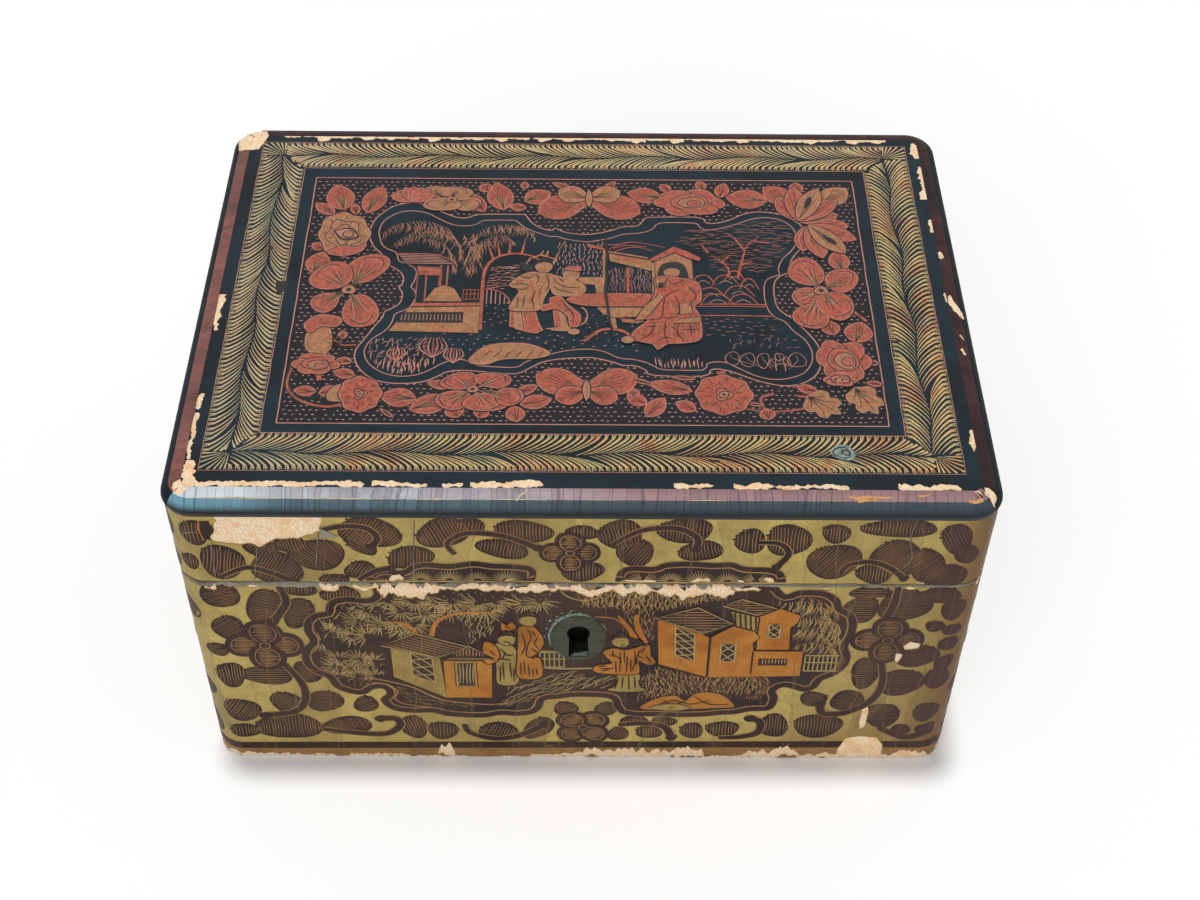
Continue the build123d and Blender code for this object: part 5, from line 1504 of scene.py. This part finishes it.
# pond banks
line("edge", uv(-68,44, -63,43.2, -58,41.4, -53,39, -48.6,35.4, -44,32.4, -37,31, -29,30.2, -22,31.5),
    (0.4, 0.7, 0.4), 1.5)
line("edge", uv(-66,42, -61,40.5, -58.4,37, -59.5,33.5, -57,30.5, -51,29, -44,27.6), (0.3, 0.6, 0.3), 1.5)
thicket("edge", uv(-57,40, -50,35, -45,31, -30,29, -44,28, -56,31, -57,36), 1.7, 3, 152, 14, 33, 0.24, 8)
# left house
panel("dust", uv(-59,60.5, -44,54.5, -43,34, -59,45))
panel("red", uv(-43,53.5, -28,53.5, -28.5,34, -43,34))
roof(uv(-62,61, -51,67.5, -34,60.5, -45,55), 3, -22)
roof(uv(-42,54.5, -35,61.5, -26.5,54.5), 4, 90, 1)
lattice(uv(-53,57.5, -46.5,55, -46,42, -53,46), 3)
panel("dust", plot(-39.5, -33, 53, 40), 3)
fill("ink", plot(-38.8, -33.6, 40.5, 52.4), 3.8)
hatch(plot(-38.8, -33.6, 40.5, 52.4), 88, 1, 0.4, 4.2, 0.1, None, "twig")
line("red", uv(-57,73, -53,71, -50,67), (0.8, 1.6, 0.8), 2)
line("red", uv(-46,66, -44,73, -38,77, -26,78), (1.6, 1.1, 0.5), 2)
# right houses
panel("red", uv(54,60, 54,77, 59.5,80.5, 66,77, 65.5,73.5, 63.5,71, 64,60))
roof(uv(42,81.5, 48,85, 59,80.5, 53,77), 3, 0)
panel("dust", uv(45,79, 53.5,76, 53.5,69, 47,72), 2.6)
for k in range(5):
    line("ink", uv(46.2 + 1.6 * k, 78.3 - 0.5 * k, 46.8 + 1.6 * k, 72 - 0.6 * k), 0.6, 4, 3)
panel("red", uv(23,74.5, 36,68.5, 39,66, 39,45.5, 24,52), 3)
panel("red", uv(39.5,45.5, 39.5,66.5, 46,72, 52.5,69.5, 54.5,66, 52.5,63.5, 53,59.5, 68.5,59.5, 68.5,46.5), 3.4)
roof(uv(22,75.5, 35,81, 46,73, 37,68), 4, 0, 1.3)
lattice(uv(28.5,71.5, 34.5,68, 35,54, 29,57), 5, 4)
lattice(plot(43, 47.5, 63, 54), 5, 2)
lattice(plot(57, 60.5, 73, 66), 5, 2)
fill("ink", plot(55, 64, 52, 55.5), 5)
hatch(plot(55, 64, 52, 55.5), 90, 1, 0.4, 5.4, 0, None, "twig")
for a, b in (((39.5, 46), (39.5, 66)), ((53, 47.5), (53, 59)), ((53, 59.5), (68, 59.5)), ((39, 66), (46, 72)),
        ((46, 72), (52.5, 69.5)), ((24, 52), (39, 45.5)), ((64.5, 60), (64, 71)), ((54, 77), (59.5, 80.5))):
    line("ink", [a, b], 0.6, 5, 3)
fence("twig", 69.5, 80, 49, 8, 1.4, 0.5)
# scallop hanging from the rim, fences and the bent tree
fill("ink", curve(uv(-7,91, -3.5,86.5, 0.5,85, 4,86.6, 7,91), 1.2), 0.6)
fill("edge", curve(uv(-5,91, -2.4,88, 0.5,87, 3,88, 5,91), 1.2), 1)
line("twig", uv(-8,90.6, -4.2,85.6, 0.5,83.8, 5,85.6, 8,90.6), 0.4, 1)
fence("twig", -13, -5, 50.5, 7.5, 1.5, 0.5)
line("dust", uv(-13,58.6, -8,58.4), 0.9, 2, 2)
line("twig", uv(-13,50.4, -6,49.6, 8,50.2), 0.8, 2, 2)
for path, width in ((uv(11,76.5, 14,71, 16.5,65), (0.5, 1.5, 1.9)), (uv(16.5,77, 17.2,70, 20,63), (0.9, 2, 1)),
        (uv(4,76, 10,75, 14,70, 15,66), (0.4, 0.6, 0.4))):
    line("red", path, width, 2)
# strolling figures in long robes: plain round heads
for tone, outline, level in (("red", uv(-19.2,70.5, -15.4,71.6, -12.6,67.4, -11.8,62.6, -14,57.6, -16.4,55.2,
        -13,55, -12.8,45.4, -19.8,45.2, -19.9,55, -19.4,64), 4), ("dust", uv(-26.6,62, -21.6,61.4, -19.8,56.4,
        -20.2,50, -20.3,41.8, -26.2,41.6, -26.6,50), 3), ("red", uv(-30,63, -26.4,61, -25.6,55, -28,52.4, -30.2,53),
        3.4), ("red", uv(-24.4,73, -22.8,71.4, -21.4,73.4, -20.2,70.4, -24,68.6), 3), ("red",
        uv(6.8,58.6, 10,60.4, 13,59.4, 16.4,60.4, 20.4,62.4, 21.4,57, 23,53.2, 20.6,52, 17.6,54, 17.8,47.6, 10.8,47,
        4,48.4, 4.6,51.4, 9.6,52.6, 8,55.6), 4), ("dust", uv(11.6,46.8, 17.8,47.2, 18.2,41, 20.2,38.4, 14.4,37.6,
        8.2,38.4, 11,40.8), 3),):
    patch(curve(outline, 1.1, True), tone, level, "", 0.5)
for u, v, width, height in ((-16.3, 74.6, 5.4, 6), (-23, 65, 5.6, 6.2), (12, 64.2, 5.6, 5.8)):
    patch(placed(disc(width, height, 0.04), u, v), "dust", 5, "", 0.5)
    crownOfHair(u, v, width, 5.8, 5)
fill("ink", uv(14.2,63.6, 14.8,66.2, 17.6,64.8, 20.4,61.4, 16.4,62), 6)
strokes("ink", (0.3, 0.5, 0.3), 6.4, (-16.6,70, -15.6,66, -16.8,61, -17,56.4, -14.6,55), (-15.2,69, -14.2,66.4),
    (-15.4,50, -15,46), (-14.2,50, -13.9,46.4), (-13.2,57.6, -15.6,60.4), (-17.9,54, -17.8,47),
    (-25,60, -23,56.6, -21,57.2), (-26,54.8, -22,54.2), (-24.6,53, -24.4,44), (-22.4,53, -22,45),
    (-28.6,59, -26.8,56.6), (-24.2,64, -22.4,63.2, -21.6,61.6), (8.6,57, 11.4,56, 12.4,53), (12,58.4, 12,48.6),
    (14.2,56.6, 14,48.4), (16.4,59, 16.6,53, 15.6,48.4), (18.4,60, 17.4,57.4, 19,55.4), (13,45.6, 12.8,39.6),
    (16.6,46, 17,40), (10,50.2, 6,49.8), (13.4,63, 12,61.6), (-18.4,68, -17.4,62, -18.6,57),
    (-13.4,66, -14.6,62.6, -13,60), (-19,53, -19,46.4), (-16.6,52, -16.4,46), (-25.4,51, -25.6,43),
    (-21.2,50, -21.2,43), (-23.6,58, -24.6,55), (-29.2,56, -27.4,54.2), (-23.4,71.4, -22,70), (9.6,59.4, 9.8,56),
    (10.6,54, 10.8,48), (13.2,59, 13.4,53), (15.2,55, 15.4,49), (17.2,57, 17,52), (19.4,61, 18.6,58),
    (20,56.6, 21.6,53.4), (7.4,51.6, 5.2,50.8), (8.6,49.4, 6.4,48.8), (11.6,45.4, 10.6,39.4), (14.8,46.4, 15,39),
    (18,44, 18.8,40))
# bank with a pool
roundPatch("red", 2, 1.3, 19,28.5, 24,34, 30,35.5, 33,33, 37,37, 44,36.5, 49,30, 44,29, 30,28)
strokes("ink", (0.3, 0.6, 0.3), 4, (24,30, 29,33, 35,31, 41,33), (36,35, 41,31, 47,31), (26,33, 30,31, 34,33.4))
roundPatch("dust", 4, 1.2, 22,29, 29,31.3, 35,29, 29,27.3)
# pale band along the rounded arrises of the joint: painted highlight
fill("rim", raggedBand((-frontSpan, 90.4), (48, 90.4), -0.55, 0.55, 1), 2.2)
fill("rim", raggedBand((47, 90.6), (frontSpan, 90.6), -0.15, 0.35, 3), 2.2)
hangUp("front", "Base")

# front of the lid
easel = newEasel("front", "Lid")
for row in ((-111.5,114, 8,10), (-114.5,100.5, 5,7), (-105,101, 13,14, 80), (-89.5,98, 15,14, 60),
        (-93,107.5, 10,7, 50), (-84,109, 9,8, 120, -20), (-77,104.5, 15,14, 125), (-61,114.5, 17,13, 75, -20),
        (-64,110, 7,12, 110, 25), (-40,114.5, 15,12, 90, 20), (-32,117.5, 8,7, 80), (-17,115, 16,10),
        (-50,103.5, 14,9, 75, 12), (-65,97.5, 9,8, 60), (-73,93, 9,5, 60), (-23,107.5, 15,8, 90, -10),
        (11,114, 13,12, 100), (15.5,106, 11,11, 60), (29.5,116, 16,10), (34.5,107, 12,9, 90, 10),
        (48.5,111.5, 9,10), (59.5,112, 12,14), (73,115, 8,8), (91,117.5, 20,8), (73.5,102.5, 15,15, 60),
        (92,104, 16,15, 50), (101,101, 10,14, 50), (86,97, 10,9), (107,95.5, 12,12, 45), (108,113, 8,14, 100, 15),
        (112,106, 7,8, 60), (0,97.5, 12,9), (0,115, 9,6)):
    wallLeaf(*row)
for points in (uv(-80,113, -70,117, -62,116.5, -59,112, -61,108.5), uv(-37,105, -39,110, -33,114.5, -22,113,
        -13,108), uv(-106,94.5, -98,98.5, -91,96, -86,92.5), uv(9,110, 17,116, 27,117, 33,113, 33,108),
        uv(51,111, 57,110.5, 60,106, 57,100), uv(76,97, 78,101, 84,102.5, 90,100, 95,95),
        uv(-66,93, -61,97, -56,98.5)):
    wallStem(points, 1.9)
wallFlower(-3.5, 106, 17)
for points in (uv(-64,92.9, -62,96.5, -58,98.2, -53,97.4, -50,100, -46,101.2, -39,100.5, -32,101.8, -26,100.8,
        -20,100.5, -15,99.5, -13.5,97, -14,92.9), uv(9.8,92.9, 11,98, 15,100, 21,99.7, 24,101.4, 31,102.2, 38,101.6,
        44,101.8, 48,100, 55,99.5, 59,97.4, 60.4,92.9)):
    edge = curve(points, 1.3)
    fill("edge", moveOut(edge, 0.3), 0.5)
    fill("ink", edge, 0.8)
    inner = [p for p in moveOut(edge, -2.4) if p[1] > 93.8]
    line("edge", inner, 0.5, 1.4, 0)
    easel["clip"] = inner + uv(inner[-1][0], 93, inner[0][0], 93)
    for k in range(5):
        heart = points[0][0] + 8 + 8.4 * k
        for a in range(12, 172, 12):
            turn = radians(a + 5 * sin(3 * k))
            twig("twig", [(heart + t * cos(turn),
                92.9 + t * sin(turn) - 0.012 * t * t * abs(cos(turn))) for t in (1.2, 3.2, 5 - 0.8 * (k % 2))], 0.3)
easel["clip"] = None
# pale band along the lid's rounded lower arris: painted highlight
fill("rim", raggedBand((-frontSpan, 91.7), (frontSpan, 91.7), -0.35, 0.35, 2), 1.9)
# splits, with the light catching one lip
for points in (uv(-75.5,117, -76.5,109, -78,99), uv(-94,108, -95.5,99, -97,92.5), uv(-107,110, -107.5,102, -108,94),
        uv(95.5,122, 94.5,113, 96,104, 92,97), uv(-48,120, -49,106, -49.5,93)):
    line("rim", points, (0.1, 0.18, 0.12, 0.22, 0.1), 2.5)
    line("ink", [(u + 0.2, v) for u, v in points], (0.1, 0.22, 0.1), 2.5)
# lifted flakes at the big loss, their pale lips a painted highlight
fill("rim", uv(-75.2,116.4, -70,112.6, -74.8,111.8), 2)
fill("ink", ragged(uv(-109,119, -106.4,119, -105.4,115, -106.6,110.6, -109.4,112), 0.2, 5), 2)
line("red", uv(-109.4,119, -109.8,115, -108.8,111), 0.4, 2.5)
line("rim", uv(-114.6,113, -112,114.4, -110,113.8), (0.1, 0.4, 0.1), 2.4)
hangUp("front", "Lid")
print("front painted")


# the other walls carry the same ornament: leaves fill what the frames leave free
def scatterLeaves(span, low, high, taken, seed):
    chance = random.Random(seed)
    placedLeaves = []
    for k in range(900):
        size = max(7, 15 - k / 60)
        u, v = chance.uniform(-span + 4, span - 4), chance.uniform(low + 0.38 * size, high - 0.38 * size)
        wide, tall = size * chance.uniform(0.85, 1.15), size * chance.uniform(0.7, 1)
        ring = placed(disc(1.35 * wide, 1.35 * tall, 0, 0, 8), u, v)
        if any(isInside(p, area) for p in ring for area in taken):
            continue
        if any(dist((u, v), spot[:2]) < 0.47 * (size + spot[2]) + 1.6 for spot in placedLeaves):
            continue
        placedLeaves.append((u, v, size))
        wallLeaf(u, v, wide, tall, chance.choice((90, 80, 60, 0, 120)), chance.uniform(-25, 25),
            chance.randint(0, 999))


def sideGarden(scale, seed):
    # a house among trees, scaled to the panel
    half = 78 * scale
    tree = uv(-half, 60, -half * 0.9, 72, -half * 0.7, 84, half * 0.7, 84, half * 0.92, 74, half * 0.92, 62,
        half * 0.3, 70, -half * 0.2, 74, -half * 0.55, 66, -half * 0.6, 50, -half * 0.9, 48)
    fans("twig", tree, 6, 4.8, seed, 0.34, 240, 85, 9)
    thicket("edge", tree, 2.6, 1.8, 150, 60, seed + 2, 0.3)
    thicket("edge", plot(-half * 0.5, half * 0.7, 34, 40), 1.5, 2.6, 88, 24, seed + 1, 0.32, 20)
    left = -30 * scale
    panel("dust", uv(left - 13, 62, left, 56, left, 40, left - 13, 46))
    panel("red", plot(left, left + 17, 56, 40))
    roof(uv(left - 16, 62.5, left - 6, 70, left + 20, 64, left + 18, 56.5, left - 1, 56.5), 3, -12)
    lattice(uv(left - 10, 58, left - 3.5, 55, left - 3.5, 45, left - 10, 48), 3)
    lattice(plot(left + 4, left + 12, 53, 44), 3, 2)
    fence("twig", left + 18, half * 0.55, 45, 8, 1.6, 0.5)
    robedFigure(left + 27, 40, 27, 1, "red", 3)
    robedFigure(left + 36, 40, 24, -1, "dust", 4)
    trunk = half * 0.62
    line("red", uv(trunk, 40, trunk - 1, 54, trunk + 3, 66, trunk - 4, 76), (2.2, 1.8, 1.2, 0.6), 2)
    line("red", uv(trunk, 58, trunk + 6, 66, trunk + 9, 74), (1.2, 0.9, 0.5), 2)
    roundPatch("red", 2, 1.3, left - 2, 33, left + 8, 37, left + 22, 36, left + 30, 33, left + 12, 31.5)


wallRims = {"plain": 90.95, "back": 86.6}
for side, scale, seed in (("right", 0.72, 300), ("back", 1, 500), ("left", 0.72, 700)):
    span = sides[side][1] + halfArc
    easel = newEasel(side, "Base")
    rimHeight = wallRims["back" if side == "back" else "plain"]
    footBands(span)
    if side != "back":
        # pale band along the rounded rim: painted highlight
        fill("rim", raggedBand((-span, 90.4), (span, 90.4), -0.6, 0.55, seed), 2.2)
    sideFrame = [(u * scale * 0.98, min(v, rimHeight)) for u, v in frontFrame]
    outline = curve(sideFrame, 1.3)
    spots = [(-0.5 * (span + 82 * scale), 58, 17), (0.5 * (span + 82 * scale), 60, 17), (0, 18, 17)]
    taken = [moveOut(outline + uv(outline[-1][0], 95, outline[0][0], 95), 1.5)]
    taken += [placed(disc(1.25 * s, 1.25 * s), u, v) for u, v, s in spots]
    scatterLeaves(span, 9.5, rimHeight, taken, seed)
    for u, v, size in spots:
        wallFlower(u, v, size)
        for way in (-1, 1):
            wallStem(uv(u, v + way * 8, u + 3 * way, v + way * 15, u - 2,
                v + way * 22) if v > 40 else uv(u + 9 * way, v, u + 17 * way, v - 5, u + 26 * way, v - 1,
                u + 24 * way, v + 4))
    cartouche(sideFrame, rimHeight + 0.2)
    sideGarden(scale, seed + 5)
    hangUp(side, "Base")
    easel = newEasel(side, "Lid")
    lidLow = 92.3 if side != "back" else case["hingeLine"] + case["groove"] + 0.2
    taken = [placed(disc(20, 20), 0, 107)]
    scatterLeaves(span, lidLow, railTop, taken, seed + 9)
    wallFlower(0, 107, 16)
    for way in (-1, 1):
        wallStem(uv(9 * way, 107, 18 * way, 113, 28 * way, 112, 31 * way, 106, 27 * way, 103), 1.9)
        wallStem(uv(0.55 * span * way, 110, 0.68 * span * way, 103, 0.8 * span * way, 106), 1.9)
    hangUp(side, "Lid")
    print(side, "painted")


# green rust round the lock plate, thickest along its upper left rim, where it is also a painted highlight; pale
# rust with a painted glint on the keyhole's floor
layer = newLayer(surfaces["frontBase"])
chance = random.Random(12)
for start, end, out, width in ((52, 205, 0.32, 0.9), (70, 150, 0.9, 0.5), (215, 240, 0.3, 0.4), (20, 40, 0.3, 0.3)):
    arc = [(plate["x"] + (plate["halfWidth"] + out + chance.uniform(-0.15, 0.15)) * cos(radians(a)),
        plate["z"] + (plate["halfHeight"] + out + chance.uniform(-0.15,
        0.15)) * sin(radians(a))) for a in range(start, end + 1, 5)]
    addStroke(layer, arc, (0.15, width, 0.6 * width, width, 0.15), coat["top"])
for k in range(14):
    a, out = radians(chance.uniform(60, 190)), chance.uniform(1.2, 2.6)
    place = (plate["x"] + (plate["halfWidth"] + out) * cos(a), plate["z"] + (plate["halfHeight"] + out) * sin(a))
    addShape(layer, placed(disc(chance.uniform(0.4, 1), None, 0.15, k, 9), *place), coat["top"])
finishLayer(layer, "keyhole_patina", "verdigris", "base", "aged_brass")
layer = newLayer({"point": lambda u, v, lift: (mm * u, mm * v, mm * (57 + lift)), "us": [], "vs": []})
addShape(layer, ragged(uv(-3.6,-87.9, 1.7,-87.9, 1.8,-86.2, -0.4,-86.6, -2.2,-86.9), 0.12, 3), 0.05)
finishLayer(layer, "keyhole_floor_patina", "brightRust", "base", "aged_brass")


# bare timber, metal and the inside
def grainFinish(name, colours, scale, detail, rough, bumpStrength, roughness, metallic=0, even=True):
    # streaks drawn out along the piece
    material, tree, place = startMaterial(name, roughness, metallic)
    drawn = addNode(tree, "Mapping", {"Scale": scale}, {"Vector": place})
    streak = addNode(tree, "TexNoise", {"Scale": 1, "Detail": detail, "Roughness": rough},
        {"Vector": drawn.outputs["Vector"]})
    gloss = None if even else addNode(tree, "MapRange", {"To Min": roughness - 0.1, "To Max": roughness + 0.2},
        {"Value": streak.outputs["Fac"]})
    return complete(material, spreadColours(tree, streak.outputs["Fac"], colours), streak.outputs["Fac"],
        bumpStrength, 0.0002, gloss)


# dark varnish brushed on inside, split bamboo; brass and iron handled for years: streaky, dull in the hollows
for name, colours in (("innerLacquer", "#17110e #241a15 #2e211a"), ("bamboo", "#8a6c40 #a8864f #b8995f")):
    materials[name] = grainFinish(name, colours, (40, 40, 400), 5, 0.6, 0.2, 0.5)
for name, colours, roughness, scratchMm in (("agedBrass", "#282822 #3d3d33 #4c4f44 #353a33", 0.5, 0.5),
        ("iron", "#2c2825 #3d3833 #54483c", 0.55, 0.6)):
    materials[name] = grainFinish(name, colours, (120, 120, 1000 / scratchMm), 6, 0.7, 0.3, roughness, 0.8, False)
nodeFinish = {"pins": "bamboo", "escutcheon": "agedBrass", "hinge_screws": "iron", "hinge_pin": "iron",
    "hinge": "agedBrass", "lock": "iron", "link": "iron"}
for name, node in nodes.items():
    finish = next((nodeFinish[word] for word in nodeFinish if word in name), "innerLacquer")
    node.data.materials.clear()
    node.data.materials.append(materials[finish])
print("nodes finished")


# floor, light and camera
def raysThatSee(tree):
    # camera, glossy and transmission rays see plain white
    rays = addNode(tree, "LightPath").outputs
    seen = addNode(tree, "Math", {"operation": "MAXIMUM"}, {0: rays["Is Camera Ray"], 1: rays["Is Glossy Ray"]})
    seen = addNode(tree, "Math", {"operation": "MAXIMUM"}, {0: seen.outputs[0], 1: rays["Is Transmission Ray"]})
    return seen.outputs[0]


floorMesh = bpy.data.meshes.new("floor")
floorMesh.from_pydata([(-6, -6, 0), (6, -6, 0), (6, 6, 0), (-6, 6, 0)], [], [(0, 1, 2, 3)])
floor = bpy.data.objects.new("floor", floorMesh)
addObject(floor)
paper = bpy.data.materials.new("paperSweep")
paper.use_nodes = True
tree = paper.node_tree
shader = tree.nodes["Principled BSDF"]
for socket, value in (("Roughness", 0.9), ("Specular IOR Level", 0), ("Base Color", (0.9, 0.9, 0.9, 1)),
        ("Emission Color", (1, 1, 1, 1))):
    shader.inputs[socket].default_value = value
lift = addNode(tree, "Math", {"operation": "MULTIPLY", 1: 0.06}, {0: raysThatSee(tree)})
tree.links.new(lift.outputs[0], shader.inputs["Emission Strength"])
floorMesh.materials.append(paper)

world = bpy.data.worlds.new("studio")
bpy.context.scene.world = world
world.use_nodes = True
tree = world.node_tree
sky = tree.nodes["Background"]
level = addNode(tree, "MapRange", {"To Min": 0.32, "To Max": 1}, {"Value": raysThatSee(tree)})
tree.links.new(level.outputs["Result"], sky.inputs["Strength"])
sky.inputs["Color"].default_value = (1, 1, 1, 1)

lamps = {  # softness in degrees
    "topLamp": {"soft": 5, "strength": 1.95, "from": (-0.022, 0.058, 1)},
    "frontLamp": {"soft": 60, "strength": 1, "from": (-0.25, -1, 0.45)},
}
for name, lamp in lamps.items():
    data = bpy.data.lights.new(name, "SUN")
    data.energy = lamp["strength"]
    data.angle = radians(lamp["soft"])
    sun = bpy.data.objects.new(name, data)
    sun.rotation_mode = "QUATERNION"
    sun.rotation_quaternion = Vector(lamp["from"]).to_track_quat("Z", "Y")
    addObject(sun)

shot = {"place": (0.000199, -0.4267, 0.5114), "yaw": 0.76, "pitch": 46.83, "roll": 0.88, "lens": 54.54}
yaw, pitch, roll = (radians(shot[k]) for k in ("yaw", "pitch", "roll"))
forward = Vector((sin(yaw) * cos(pitch), cos(yaw) * cos(pitch), -sin(pitch)))
right = Vector((cos(yaw), -sin(yaw), 0))
up = right.cross(forward)
cameraData = bpy.data.cameras.new("camera")
cameraData.lens = shot["lens"]
cameraData.sensor_width = 36
camera = bpy.data.objects.new("camera", cameraData)
across = right * cos(roll) + up * sin(roll)
upright = up * cos(roll) - right * sin(roll)
camera.matrix_world = Matrix.Translation(shot["place"]) @ Matrix((across, upright, -forward)).transposed().to_4x4()
addObject(camera)
bpy.context.scene.camera = camera
cameraData.clip_start = 0.01
bpy.context.scene.view_settings.view_transform = "Standard"
